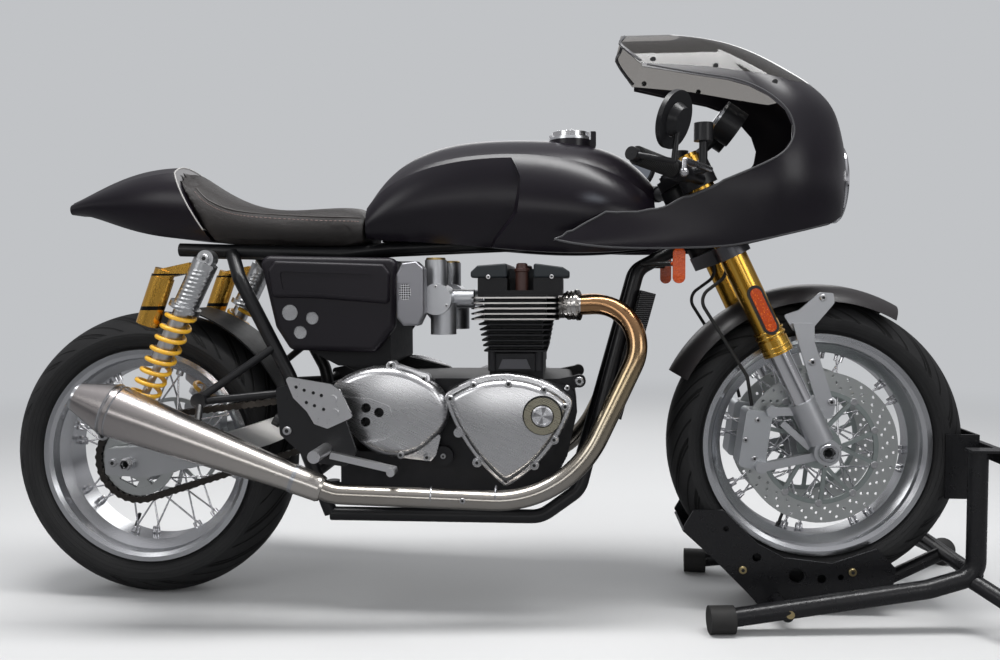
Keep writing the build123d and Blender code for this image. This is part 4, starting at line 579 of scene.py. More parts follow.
oiled = metal("Oiled_chain", (0.14, 0.13, 0.12), 0.34, (300, 300, 300))
links = (oiled.cells(120.0) * 6.0).step(0.2, 0.9)
dress(oiled.colour(links, (0.20, 0.18, 0.15), (0.06, 0.055, 0.05)), "chain")
print("materials", len(bpy.data.materials))

# %% [markdown]
# The cylinder head is black, and the edges of its fins are machined bright. The mask is how far a place lies
# from the head's middle, up to the height where the cam box starts.

# %% Cylinder head
HEAD_X, HALF_LONG, HALF_WIDE, FINS_TOP, LID_FROM = 802, 0.0859, 0.1599, 0.6535, 0.690
head = Finish("Head_black", (0.010, 0.010, 0.011), 0.40, Specular_IOR_Level=0.3)
head_x, head_y, head_z = head.axis(0) - amid(HEAD_X, 0).x, head.axis(1), head.axis(2)
edge = (head_x.size() - HALF_LONG).most(head_y.size() - HALF_WIDE).over(0.0) * (1 - head_z.over(FINS_TOP))
lid = head_z.over(LID_FROM)
body_black = head.mix(lid, SOOT, (0.014, 0.018, 0.021))
head.colour(edge, body_black, (0.62, 0.60, 0.58)).feed("Metallic", edge)
head.feed("Roughness", 0.40 - edge * 0.14 - lid * 0.08 + head.noise(50.0) * 0.06)
head.bump(head.noise(1100.0, 3.0) * (1 - edge), 0.00006, 0.6)
dress(head, "cylinder_head")
print("bright fin edges up to", FINS_TOP, "m")

# %% [markdown]
# ## Tyres
# A road tyre has a smooth sidewall with a few raised rings and curved grooves over its crown. The grooves
# repeat round the wheel, so they are drawn in the angle round the axle: a line that leans back as it moves
# outwards. Relief from a pattern is enough here, since the grooves are shallow. The grooves are also
# coloured near black: painted shade for the shadow inside them.

# %% Tyres


def tyre_finish(name, centre, half, outer, count):
    """Rubber with leaning grooves over the crown, near black inside with painted shade, and rings on the
    sidewalls.
    """
    made = Finish(name, (0.016, 0.016, 0.017), 0.55, Specular_IOR_Level=0.25).wear(0.44, 0.2, 45.0)
    out, far = made.axis(1).size() * (1 / half), made.radius(centre)
    lean = made.turn(centre) * (count / (2 * pi)) + out * out * 1.1 + made.axis(1).over(0.0) * 0.5
    groove = 1 - (lean.saw() - 0.5).size().step(0.045, 0.065)
    slit = (1 - ((lean * 2.0 + 0.25).saw() - 0.5).size().step(0.05, 0.075)) * out.step(0.30, 0.34)
    crown = far.step(outer - 0.040, outer - 0.036) * out.step(0.10, 0.13)
    shaded_grooves = groove.most(slit) * crown
    rings = far.ridges(900.0).step(0.86, 0.98) * (1 - far.step(outer - 0.050, outer - 0.044))
    made.bump(0.5 - shaded_grooves * 0.5 + rings * 0.12 + made.noise(500.0) * 0.02, 0.0050)
    dusty = made.mix(made.noise(12.0), (0.009, 0.009, 0.010), (0.020, 0.020, 0.020))
    # Painted shade: the grooves are coloured near black for the shadow inside them.
    return made.colour(shaded_grooves, dusty, (0.002, 0.002, 0.002))


GROOVES = 15
dress(tyre_finish("Front_tyre_rubber", FRONT, 0.060, 0.300, GROOVES), "front_tyre")
dress(tyre_finish("Rear_tyre_rubber", REAR, 0.080, 0.310, GROOVES), "rear_tyre")
print("grooves a side", GROOVES)

# %% [markdown]
# ## Foot plates
# One node holds the black hanger, the silver heel plate in front of it and the silver peg and pedal.
# Their distance from the middle of the bike tells them apart, so a mask over Y colours them. The walls of
# the heel plate's holes are coloured black: painted shade for the shadow inside them.

# %% Foot plates
PLATE_FROM, HOLE_FROM, HOLE_TO, HOLE_Z = 0.2141, 0.2155, 0.2172, 0.400
rests = metal("Foot_alloy", (0.62, 0.62, 0.64), 0.30, (300, 300, 40))
out = rests.axis(1).size()
# Painted shade: the walls of the plate's holes are coloured black for the shadow inside them.
hole_shade = out.over(HOLE_FROM) * (1 - out.over(HOLE_TO)) * rests.axis(2).over(HOLE_Z)
bright = out.over(PLATE_FROM) * (1 - hole_shade)
rests.colour(bright, SOOT, (0.74, 0.74, 0.75)).feed("Metallic", bright)
dress(rests, "foot_controls")
print("bright beyond", PLATE_FROM, "m")

# %% [markdown]
# ## Colours that catch the eye
# The springs are a warm yellow, the reflectors amber with painted glints in their prisms, and the screen is
# dark smoke. The lamp's lens carries painted reflection: rings of light and dark over the distance from its
# middle, as a bowl behind glass shows them.

# %% Spring, lamps, screen
LENS_X, LENS_Z, AMBERS = 1.44, 0.882, ((0.80, 0.15, 0.01), (0.40, 0.05, 0.005))
spring = Finish("Spring_yellow", (0.80, 0.46, 0.03), 0.28, Coat_Weight=0.3, Coat_Roughness=0.12)
dress(spring.mottle(30.0, (0.74, 0.38, 0.02), (0.90, 0.52, 0.05)).relief(300.0, 0.00005, 0.4), "shock_springs")
smoke = Finish("Smoke_screen", (0.13, 0.125, 0.12), 0.04, Transmission_Weight=0.88, IOR=1.30)
dress(smoke.wear(0.03, 0.03, 20.0), "screen")

glass = dress(Finish("Lamp_lens", (0.9, 0.92, 0.95), 0.08, Coat_Weight=0.6), "headlamp")
front_part = glass.axis(0).step(REAR_X + LENS_X - 0.002, REAR_X + LENS_X + 0.002)
across, up = glass.axis(1), glass.axis(2) - LENS_Z
# Painted reflection: light and dark rings stand in for the reflector bowl behind the glass.
painted_bowl_reflection = glass.ramp(across.far(up) * 12.0, [
    (0.0, (0.62, 0.64, 0.66)), (0.12, (0.10, 0.10, 0.11)),
    (0.30, (0.34, 0.36, 0.38)), (0.62, (0.52, 0.55, 0.58)),
    (0.95, (0.14, 0.15, 0.16))])
glass.colour(front_part, (0.015, 0.015, 0.015), painted_bowl_reflection)
glass.bump((across * 700.0).wave() * front_part, 0.0003, 0.4)


def reflector(name, colour, deep):
    """A prismatic reflector: little cells under a smooth skin, their bright middles painted glints."""
    made = Finish(name, colour, 0.22, Coat_Weight=0.12, Specular_IOR_Level=0.3)
    facets = made.cells(260.0)
    # Painted glints: each prism cell is bright in its middle and deep at its edge.
    made.colour((facets * 2.2).step(0.1, 0.9), colour, deep)
    return made.bump(facets, 0.0006, 0.7)


red_amber = reflector("Leg_reflector", (0.86, 0.19, 0.01), (0.42, 0.05, 0.005))
amber = dress(reflector("Amber_lens", *AMBERS), "lamps")
stem = 1 - amber.axis(1).size().over(0.1175)
# The same painted glints on the amber lens, by smaller cells.
amber_glints = amber.mix((amber.cells(420.0) * 2.2).step(0.1, 0.9), *AMBERS)
amber.colour(stem, amber_glints, (0.012, 0.012, 0.012))
print("materials", len(bpy.data.materials))

# %% [markdown]
# ## Finishes of the small parts
# Screws, recesses, plugs, thread and edgings are too small for much pattern. Each gets one colour,
# with a little drift in its colour or its roughness. The near black of the recesses is painted shade.

# %% Finishes of the small parts
# Painted shade: near black for key sockets, holes and outlets, where shadow lies inside.
painted_shade = Finish("Painted_shade_recess", (0.006, 0.006, 0.006), 0.6).wear(0.5, 0.2, 90.0)
black_part = Finish("Small_black_parts", (0.012, 0.012, 0.013), 0.38).wear(0.32, 0.14, 80.0)
edge_rubber = Finish("Edge_bead", (0.045, 0.045, 0.048), 0.35).wear(0.30, 0.1, 60.0)
dial_face = Finish("Dial_face", (0.02, 0.02, 0.022), 0.4).wear(0.35, 0.1, 60.0)
white = Finish("Dial_white", (0.75, 0.75, 0.73), 0.45).wear(0.4, 0.1, 60.0)
plug_brown = Finish("Plug_cap_brown", (0.045, 0.018, 0.014), 0.45)
plug_brown.mottle(60.0, (0.035, 0.014, 0.011), (0.060, 0.024, 0.018))
thread = Finish("Rose_thread", (0.30, 0.20, 0.18), 0.6).mottle(200.0, (0.22, 0.13, 0.12), (0.34, 0.24, 0.22))
cord_leather = Finish("Piping_leather", (0.03, 0.026, 0.024), 0.42)
cord_leather.mottle(60.0, (0.022, 0.019, 0.018), (0.040, 0.034, 0.032))
pale_edge = Finish("Pale_edging", (0.34, 0.33, 0.32), 0.5).mottle(60.0, (0.28, 0.27, 0.26), (0.40, 0.39, 0.38))
mirror_metal = metal("Mirror_glass", (0.50, 0.54, 0.60), 0.04, (60, 60, 60), spread=0.02)
print("materials", len(bpy.data.materials))

# %% [markdown]
# ## Tools for the small parts
# Turned parts, cords and flat tabs cover most of the small parts. A ray shot across the bike finds the
# surface that a screw or a seam sits on, so nothing floats or sinks.

# %% Rays


def surface(mesh):
    """A mesh as a tree that rays can search."""
    return BVHTree.FromPolygons([v.co for v in mesh.vertices], [tuple(f.vertices) for f in mesh.polygons])


SURFACES = {name: surface(node.data) for name, node in NODES.items()}


def across_bike(tree, x, z, side, start=600):
    """Where a line from the right (-1) or left (1) first meets a surface: place, normal, way."""
    hit, normal, _, way = tree.ray_cast(at(x, side * start, z), Vector((0, -side, 0)))
    if hit is not None and normal.y * side < 0:
        normal = -normal
    return hit, normal, way


def skin(node, x, z, side=-1, out=0.0):
    """Such a place on a CAD node, lifted by out mm."""
    hit, normal, _ = across_bike(SURFACES[node], x, z, side)
    if hit is None:
        raise ValueError(f"no surface of {node} at {x}, {z}")
    return hit + normal * (out / 1000)


print("surfaces", len(SURFACES))

# %% Shapes


def frame_round(axis):
    """Two directions square to an axis and to each other."""
    axis = Vector(axis).normalized()
    first = axis.cross(Vector((0, 0, 1)) if abs(axis.z) < 0.9 else Vector((1, 0, 0))).normalized()
    return axis, first, axis.cross(first)


def ring(shape, middle, u, v, radius, steps):
    """A circle of vertices, radius in mm, or one vertex where the radius is 0."""
    turns = [2 * pi * i / steps for i in range(steps if radius else 1)]
    return [shape.verts.new(middle + (u * cos(t) + v * sin(t)) * (radius / 1000)) for t in turns]


def join_rings(shape, rings):
    """Skins neighbouring rings of vertices; a ring of one vertex closes to a point."""
    for a, b in zip(rings, rings[1:]):
        count = max(len(a), len(b))
        for i in range(count):
            j = (i + 1) % count
            corners = list(dict.fromkeys((a[i % len(a)], a[j % len(a)], b[j % len(b)], b[i % len(b)])))
            if len(corners) > 2:
                shape.faces.new(corners)


def lathed(shape, base, axis, rows, steps=32):
    """A turned shape from rows of (height, radius) in mm. A tube's last row is its first; the rest close."""
    axis, u, v = frame_round(axis)
    if rows[0] != rows[-1]:
        rows = [(rows[0][0], 0), *rows, (rows[-1][0], 0)]
    join_rings(shape, [ring(shape, base + axis * (height / 1000), u, v, radius, steps)
                       for height, radius in rows])
    return shape


def cord(shape, points, radius, steps=8):
    """A round cord through points, radius in mm."""
    rings, across = [], None
    for i, point in enumerate(points):
        along = (points[min(i + 1, len(points) - 1)] - points[max(i - 1, 0)]).normalized()
        across = frame_round(along)[1] if across is None else (across - along * across.dot(along)).normalized()
        rings.append(ring(shape, point, across, along.cross(across), radius, steps))
    join_rings(shape, rings)
    shape.faces.new(rings[0])
    shape.faces.new(rings[-1])
    return shape


def slab(shape, outline, thick):
    """A flat plate from an outline of places, thick along its own normal, in mm."""
    normal = (outline[1] - outline[0]).cross(outline[2] - outline[1]).normalized() * (thick / 1000)
    low, high = ([shape.verts.new(p + normal * lift) for p in outline] for lift in (0, 1))
    join_rings(shape, [low, high])
    shape.faces.new(low)
    shape.faces.new(high)


def capsule(centre, along, across, length, width, steps=8):
    """The outline of a rounded slot, in mm."""
    half, r = (length - width) / 2000, width / 2000
    turns = [pi * i / steps - pi / 2 for i in range(steps + 1)]
    return [centre + along * (end * (half + r * cos(t))) + across * (end * r * sin(t))
            for end in (1, -1) for t in turns]


def curve(line, steps):
    """More places between the given (x, z) ones, on a smooth curve."""
    points, made = [Vector((x, 0, z)) for x, z in line], []
    for i in range(len(points) - 1):
        p = [points[min(max(i + k, 0), len(points) - 1)] for k in (-1, 0, 1, 2)]
        for t in (s / steps for s in range(steps)):
            made.append(0.5 * (2 * p[1] + (p[2] - p[0]) * t + (2 * p[0] - 5 * p[1] + 4 * p[2] - p[3]) * t * t
                               + (3 * p[1] - p[0] - 3 * p[2] + p[3]) * t ** 3))
    return made + points[-1:]


print("shapes are ready")

# %% Pieces
SHARP = radians(34)


def piece(name, shape, finish, body):
    """Welds a shape, turns its faces outwards, and lets it ride with a body."""
    bmesh.ops.remove_doubles(shape, verts=shape.verts, dist=0.00001)
    bmesh.ops.recalc_face_normals(shape, faces=shape.faces)
    for face in shape.faces:
        face.smooth = True
    mesh = bpy.data.meshes.new(name)
    shape.to_mesh(mesh)
    shape.free()
    mesh.set_sharp_from_angle(angle=SHARP)
    mesh.materials.append(finish.material)
    made = linked(name, mesh)
    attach(made, body)
    print(name, len(mesh.polygons), "faces")


def turned(name, spots, rows, steps, finish, body, slot=None):
    """The same turned part at every (place, direction), as one piece."""
    shape = bmesh.new()
    for base, axis in spots:
        lathed(shape, base, axis, rows, steps)
    piece(name, shape, finish, body)


print("corners stay sharp past", round(SHARP, 2), "radians")

# %% [markdown]
# ## Screws
# A motorcycle shows dozens of the same socket screw. One small head is built once, as a node tree:
# a short cylinder, a chamfer, and a hexagon for the key, dark with painted shade. The tree sets it on a cloud
# of points, and each point carries the direction that its screw looks in.

# %% The screw tree


def screw_tree():
    """Builds the node tree: points with an aim in, socket screws out."""
    tree = bpy.data.node_groups.new("Socket_screws", "GeometryNodeTree")
    face = tree.interface
    ids = {}
    for name, kind in (("Points", "Geometry"), ("Radius", "Float"), ("Height", "Float"),
                       ("Head", "Material"), ("Socket", "Material")):
        ids[name] = face.new_socket(name, in_out="INPUT", socket_type="NodeSocket" + kind).identifier
    face.new_socket("Screws", in_out="OUTPUT", socket_type="NodeSocketGeometry")

    def node(kind, settings=None, out=0, **wires):
        made = tree.nodes.new(kind)
        for key, value in (settings or {}).items():
            setattr(made, key, value)
        for key, value in wires.items():
            socket = made.inputs[key.replace("_", " ")]
            if isinstance(value, bpy.types.NodeSocket):
                tree.links.new(value, socket)
            else:
                socket.default_value = value
        return made.outputs[out] if made.outputs else made

    def times(value, factor):
        made = node("ShaderNodeMath", {"operation": "MULTIPLY"}, Value=value).node
        made.inputs[1].default_value = factor
        return made.outputs[0]

    def lifted(geometry, height):
        shift = node("ShaderNodeCombineXYZ", Z=height)
        return node("GeometryNodeTransform", Geometry=geometry, Translation=shift)

    given = node("NodeGroupInput").node.outputs
    radius, height, filled = given["Radius"], given["Height"], {"fill_type": "NGON"}
    barrel = node("GeometryNodeMeshCylinder", filled, Vertices=16, Radius=radius, Depth=times(height, 0.8))
    bevel = node("GeometryNodeMeshCone", filled, Vertices=16, Radius_Top=times(radius, 0.84),
                 Radius_Bottom=radius, Depth=times(height, 0.21))
    hexagon = node("GeometryNodeMeshCylinder", filled, Vertices=6, Radius=times(radius, 0.50),
                   Depth=times(height, 0.04))
    marked = node("GeometryNodeStoreNamedAttribute", {"data_type": "BOOLEAN", "domain": "FACE"},
                  Geometry=lifted(hexagon, height), Name="socket", Value=True)
    joined = tree.nodes.new("GeometryNodeJoinGeometry")
    for part in (lifted(barrel, times(height, 0.4)), lifted(bevel, times(height, 0.79)), marked):
        tree.links.new(part, joined.inputs[0])
    aim = node("GeometryNodeInputNamedAttribute", {"data_type": "FLOAT_VECTOR"}, Name="aim")
    spread = node("GeometryNodeInstanceOnPoints", Points=given["Points"], Instance=joined.outputs[0],
                  Rotation=node("FunctionNodeAlignRotationToVector", {"axis": "Z"}, Vector=aim))
    heads = node("GeometryNodeSetMaterial", Geometry=node("GeometryNodeRealizeInstances", Geometry=spread),
                 Material=given["Head"])
    is_socket = node("GeometryNodeInputNamedAttribute", {"data_type": "BOOLEAN"}, Name="socket")
    both = node("GeometryNodeSetMaterial", Geometry=heads, Selection=is_socket, Material=given["Socket"])
    node("NodeGroupOutput", Screws=both)
    return tree, ids


SCREWS, SCREW_IDS = screw_tree()
print("screw nodes", len(SCREWS.nodes))

# %% Screws by place


def screws(name, spots, radius, height, finish, body):
    """Socket screws at (place, direction) spots; radius and height in mm."""
    mesh = bpy.data.meshes.new(name)
    mesh.from_pydata([tuple(place) for place, _ in spots], [], [])
    aim = mesh.attributes.new("aim", "FLOAT_VECTOR", "POINT")
    for i, (_, direction) in enumerate(spots):
        aim.data[i].vector = direction
    seed = linked(name + "_points", mesh)
    modifier = seed.modifiers.new("Screws", "NODES")
    modifier.node_group = SCREWS
    # The key's hexagon wears painted shade, for the shadow in the socket.
    values = {"Radius": radius / 1000, "Height": height / 1000,
              "Head": finish.material, "Socket": painted_shade.material}
    for key, value in values.items():
        modifier[SCREW_IDS[key]] = value
    solid = bpy.data.meshes.new_from_object(seed.evaluated_get(bpy.context.evaluated_depsgraph_get()))
    bpy.data.objects.remove(seed)
    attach(linked(name, solid), body)
    print(name, len(spots), "screws")


def sunk(node, places):
    """Screw spots on a node, 0.3 mm deep, from (x, z, side)."""
    return [(skin(node, x, z, side, -0.3), (0, side, 0)) for x, z, side in places]


COVER = ((675, 452), (722, 479), (791, 482), (860, 471), (901, 438), (879, 371), (840, 320),
         (784, 288), (727, 324))
SPROCKET_COVER = ((556, 516), (622, 490), (575, 338), (624, 330))
places = [(x, z, side) for x, z in COVER for side in SIDES] + [(x, z, -1) for x, z in SPROCKET_COVER]
screws("cover_screws", sunk("engine_covers", places), 7.2, 5.0, zinc, CHASSIS)
places = [(x, 691, side) for x in (748, 874) for side in SIDES]
screws("cam_cover_screws", sunk("cylinder_head", places), 4.6, 4.0, zinc, CHASSIS)

# %% [markdown]
# ## Engine trim
# The cap in the clutch cover is turned, with a raised ring round a raised centre. Its face carries a painted
# highlight: bright and dark sectors round its middle, as light falls on turned metal. Plug caps stand in the
# wells of the cam box. Each throttle body has a bronze lid and three screws in its face, and a blank
# number pad is cast on the barrels' foot.

# %% Engine trim
UPWARD = (0, 0, 1)
PLUG_WELL, LID_SEAT = (814, 112, 655), (640, 118, 726.1)
THROTTLE, SCREW_CIRCLE = (645, 647), 25
round_brushed = metal("Turned_cap", (0.66, 0.66, 0.67), 0.24, (300, 300, 300))
around_cap = round_brushed.turn(amid(*CAP))
rays = round_brushed.noise(1.0, 2.0, 0.5, round_brushed.along(around_cap * 24.0))
# Painted highlight: bright and dark sectors round the cap's middle, as light falls on turned metal.
painted_highlight_fan = ((around_cap * 2.0 + 0.4).wave().size().step(0.25, 0.95) + rays * 0.5).least(1.0)
round_brushed.colour(painted_highlight_fan, (0.22, 0.22, 0.23), (0.90, 0.90, 0.92))
round_brushed.feed("Roughness", 0.14 + rays * 0.3)
rows = [(0, 20), (1.6, 20.5), (2.2, 19), (2.2, 16), (1.2, 15.2), (1.2, 7), (2.8, 6.2)]
for side, name in zip(SIDES, ("right", "left")):
    spot = skin("engine_covers", *CAP, side, 0.2), (0, side, 0)
    turned("clutch_cap_" + name, [spot], rows, 48, round_brushed, CHASSIS, "bright_alloy")


def upright(x, y, z):
    """Spots on both sides, y mm from the middle, that look up."""
    return [(at(x, side * y, z), UPWARD) for side in SIDES]


rows = [(0, 13), (46, 13), (48, 15.5), (52, 15.5), (54, 12.5), (62, 11), (64, 8)]
turned("plug_caps", upright(*PLUG_WELL), rows, 24, plug_brown, CHASSIS)
turned("throttle_lids", upright(*LID_SEAT), [(0, 20), (3, 20), (4.5, 18)], 32, cap_bronze, CHASSIS)
turns = [radians(turn) for turn in (90, 210, 330)]
places = [(THROTTLE[0] + SCREW_CIRCLE * cos(turn), THROTTLE[1] + SCREW_CIRCLE * sin(turn), side)
          for side in SIDES for turn in turns]
screws("throttle_screws", sunk("throttle_bodies", places), 3.6, 3.4, zinc, CHASSIS)

shape = bmesh.new()
for side in SIDES:
    outline = [at(x, side * 140.2, z) for x, z in ((768, 508), (832, 508), (824, 527), (776, 527))]
    slab(shape, outline[::-side], 1.2)
piece("number_pads", shape, yoke_grey, CHASSIS)

# %% [markdown]
# ## Vents and grille
# Pale wire mesh fills the three round vents of each side panel, and the intake trim carries a drilled plate.
# The holes are a grid of dots in the material: a wave along each direction, cut at a level. They are
# coloured near black: painted shade for the shadow behind them.

# %% Vents and grille
PALE, VENTS = (0.62, 0.62, 0.64), (((347, 621), 15.9), ((393, 610), 12.4), ((368, 581), 12.9))


def drilled(name, metallic, pitch):
    """A plate with a grid of holes along X and Z, near black with painted shade, pitch in mm."""
    made = Finish(name, PALE, 0.4, metallic)
    turns = 2 * pi / pitch * 1000
    shaded_holes = ((made.axis(0) * turns).wave() * (made.axis(2) * turns).wave()).size().step(0.26, 0.40)
    # Painted shade: the holes are coloured near black and lose their metal.
    made.colour(shaded_holes, PALE, (0.01, 0.01, 0.01)).feed("Metallic", (1 - shaded_holes) * metallic)
    return made.bump(1 - shaded_holes, 0.0004, 0.6)


mesh_grey, grille = drilled("Vent_mesh", 0.2, 4.4), drilled("Intake_grille", 0.6, 9.0)
for side, name in zip(SIDES, ("right", "left")):
    shape = bmesh.new()
    for (x, z), r in VENTS:
        rows = [(0, r), (2.4, r), (2.4, r - 1.4), (1.4, r - 1.6)]
        lathed(shape, skin("side_panels", x, z, side, 0.2), (0, side, 0), rows, 28)
    piece("vent_mesh_" + name, shape, mesh_grey, CHASSIS)
shape = bmesh.new()
for side in SIDES:
    base = skin("intake_trims", 590, 662, side, 0.2)
    slab(shape, capsule(base, Vector(UPWARD), Vector((-side, 0, 0)), 34, 24, 3), 1.2)
piece("intake_grilles", shape, grille, CHASSIS)

# %% [markdown]
# ## Fork trim
# Each gold leg carries a rounded reflector in a black frame and stepped collars where the tube meets its
# carrier. The axle's ends show as a ring round a hexagonal hole, dark with painted shade.

# %% Fork trim
LEG_Y, LEG_FACE = 105, 105 + 26.5
middle = amid(1286.5, 624) - FRONT
middle, ahead_mm = middle.dot(UP) * 1000, middle.dot(AHEAD) * 1000
foot = (amid(1304, 556) - FRONT).dot(UP) * 1000
for name, lift, length, width, thick, finish in (("leg_reflectors", 4.5, 92, 21, 2.6, red_amber),
                                                 ("leg_reflector_frames", -2.5, 104, 31, 7.0, black_part)):
    shape = bmesh.new()
    for side in SIDES:
        centre = on_leg(middle, side * (LEG_FACE + lift), ahead_mm)
        slab(shape, capsule(centre, UP, AHEAD * side, length, width), thick)
    piece(name, shape, finish, FIXED)

rows = [(0, 27), (0, 29.4), (1.2, 30.2), (3.6, 30.2), (4.8, 29.4), (4.8, 27), (0, 27)]
spots = [(on_leg(foot + s, side * LEG_Y), UP) for side in SIDES for s in (-22, -12, 12, 22)]
turned("leg_collars", spots, rows, 40, gold, FIXED, "gold_anodised")
spots = [(FRONT + Vector((0, side * 0.1355, 0)), (0, side, 0)) for side in SIDES]
rows = [(-3, 12), (-3, 18), (3, 18), (4, 17), (4, 12.2), (-3, 12)]
turned("axle_rings", spots, rows, 36, trim_metal, FIXED)
rows = [(-2, 12.1), (1.0, 12.1), (1.0, 10.0), (-2, 10.0), (-2, 12.1)]
# Painted shade: the hexagonal hole is near black for the shadow inside it.
turned("axle_hexagons", spots, rows, 6, painted_shade, FIXED)

# %% [markdown]
# ## Wheels
# Each spoke ends in a nipple with a small flare where it meets the rim. The nipples sit at the far ends of
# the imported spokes, so they follow the same lacing. A valve stem stands in each rim.

# %% Nipples and valves
RIM_WELL, NIPPLE_ROOM, VALVE_TURN = 0.1875, 0.010, radians(250)


def wheel_parts(name, centre, body):
    """Nipples where each spoke meets the rim's well, and the valve."""
    groups = []
    for vertex in NODES[name + "_spokes"].data.vertices:
        point = vertex.co
        if (Vector((point.x, 0, point.z)) - centre).length <= RIM_WELL:
            continue
        near = next((group for group in groups if (group[0] - point).length < NIPPLE_ROOM), None)
        if near is None:
            groups.append([point])
        else:
            near.append(point)
    spots = []
    for group in groups:
        end = sum(group, Vector()) / len(group)
        inward = Vector((centre.x - end.x, 0, centre.z - end.z)).normalized()
        spots.append((end - inward * 0.001, inward))
    rows = [(0, 3.6), (1.5, 4.6), (3, 3.4), (13, 3.2), (14, 2.2)]
    turned(name + "_nipples", spots, rows, 10, spoke, body, "bright_spoke")
    print(name, "nipples", len(groups))
    turn = Vector((cos(VALVE_TURN), 0, sin(VALVE_TURN)))
    rows = [(0, 5), (6, 5), (6, 3.2), (26, 3.2), (26, 4), (38, 4), (39, 2)]
    turned(name + "_valve", [(centre + turn * 0.1905, -turn)], rows, 16, black_part, body)


wheel_parts("front", FRONT, "front_wheel")
wheel_parts("rear", REAR, "rear_wheel")

# %% Disc buttons and screws


def round_axle(count, first, radius, y):
    """Spots on both sides of the front wheel, evenly round the axle, in metres."""
    turns = [radians(first + i * 360 / count) for i in range(count)]
    return [(FRONT + Vector((cos(t) * radius, side * y, sin(t) * radius)), (0, side, 0))
            for side in SIDES for t in turns]


rows = [(0, 7.5), (1.2, 7.5), (2.0, 6.5), (2.0, 3.4), (0.8, 3.2)]
turned("disc_buttons", round_axle(10, 18, 0.1145, 0.0685), rows, 20, zinc, "front_wheel", "disc_steel")
screws("disc_screws", round_axle(5, 0, 0.040, 0.0692), 4.4, 2.6, zinc, "front_wheel")

# %% [markdown]
# ## Silencers
# Folded seams ring the can's far end and a collar its near end. A black strut ties the can to its eye on
# the frame, and the outlet is a disc of painted shade in a short bright ring. All but the strut are turned
# about the can's own axis.

# %% Silencer trim
CAN_START, CAN_END = (432, 232, 281), (-38, 264, 462)
THIN, THICK, SEAMS, STRAP = 26.2, 51, ((0.84, 3.0), (0.867, 3.0), (0.86, 2.0)), 0.52
EYE_ON_FRAME = (171, 181, 447)


def can_radius(s):
    """The can's radius in mm at a share of its length."""
    return THIN + (THICK - THIN) * min(max((s - 0.11) / 0.73, 0), 1)


seams, mouths, straps = bmesh.new(), bmesh.new(), bmesh.new()
for side in SIDES:
    start, end, eye = (at(x, side * y, z) for x, y, z in (CAN_START, CAN_END, EYE_ON_FRAME))
    along = end - start
    outlet = along.normalized()
    for s, width in SEAMS:
        r, half = can_radius(s) + 0.3, width / 2
        rows = [(-half, r - 2), (-half, r), (0, r + 1.3), (half, r), (half, r - 2), (-half, r - 2)]
        lathed(seams, start + along * s, along, rows, 48)
    lathed(seams, start + along * 0.115, along, [(-4, 25), (-4, 28.4), (4, 28.4), (4, 25), (-4, 25)], 40)
    lathed(mouths, end - outlet * 0.0005, along, [(0, 21), (1.6, 21)], 36)
    lathed(seams, end - outlet * 0.002, along, [(0, 22), (0, 28.6), (5, 27.6), (5, 22), (0, 22)], 40)
    middle = start + along * STRAP
    foot = middle + (eye - middle).normalized() * (can_radius(STRAP) / 1000)
    cord(straps, [foot, foot.lerp(eye, 0.5), eye], 7, 12)
piece("silencer_seams", seams, trim_metal, CHASSIS)
# The outlet disc wears painted shade, for the shadow inside the pipe.
piece("silencer_mouths", mouths, painted_shade, CHASSIS)
piece("silencer_straps", straps, black_part, CHASSIS)

# %% [markdown]
# ## Bolts on the frame, fender and chock
# These places were read off the photograph. A ray from the side finds the first part that stands there,
# and that part's body carries the bolt, so a bolt on the fork stays with the fork when the bike steers.

# %% Bolts by place
BOLTS = (  # name, places, radius, height, finish, how far out the ray starts
    ("fairing_screws", ((1074, 1119), (1194, 1101), (1304, 1064)), 5.5, 2.6, black_part, 600),
    ("fender_bolts", ((1417, 647), (1394, 518), (1432, 438)), 7.0, 5.0, zinc, 600),
    ("rail_bolts", ((548, 234), (673, 234)), 8.0, 5.0, zinc, 600),
    ("frame_bolts", ((684, 723), (935, 699)), 10.0, 7.0, black_part, 600),
    ("engine_bolts", ((929, 482),), 9.0, 6.0, zinc, 600),
    ("caliper_bolts", ((1286, 402), (1280, 324), (1262, 362)), 5.5, 4.0, zinc, 600),
    ("shock_bolts", ((185, 730), (14, 388)), 9.0, 7.0, zinc, 600),
    ("case_bolts", ((655, 330), (705, 262), (905, 470)), 5.5, 4.0, zinc, 600),
    ("arm_bolts", ((359, 392), (-34, 310)), 8.5, 6.0, zinc, 600),
    ("chock_bolts", ((1331, 42), (1262, 92), (1480, 92)), 8.0, 6.0, brass, 120))

for name, places, radius, height, finish, start in BOLTS:
    by_body = {}
    for x, z, side in [(x, z, side) for x, z in places for side in SIDES]:
        hits = [(*across_bike(tree, x, z, side, start), node) for node, tree in SURFACES.items()]
        hits = [(way, node, hit) for hit, _, way, node in hits
                if hit is not None and not NODES[node].hide_render]
        if hits:
            way, node, hit = min(hits, key=lambda found: found[0])
            spot = hit - Vector((0, side * 0.0004, 0)), (0, side, 0)
            by_body.setdefault(body_of(NODES[node])[0], []).append(spot)
        else:
            print("nothing stands at", x, z)
    for body, spots in by_body.items():
        screws(f"{name}_{body}", spots, radius, height, finish, body)

# %% [markdown]
# ## Seat pad
# The pad is foam under leather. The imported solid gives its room, a copy of it is drawn in a little,
# remeshed evenly, and blown up with the cloth solver until the skin is taut. The cap on each point's travel
# keeps the pad close to the solid's own surface. Piping and a row of stitches follow the edge where the top
# panel meets the side.

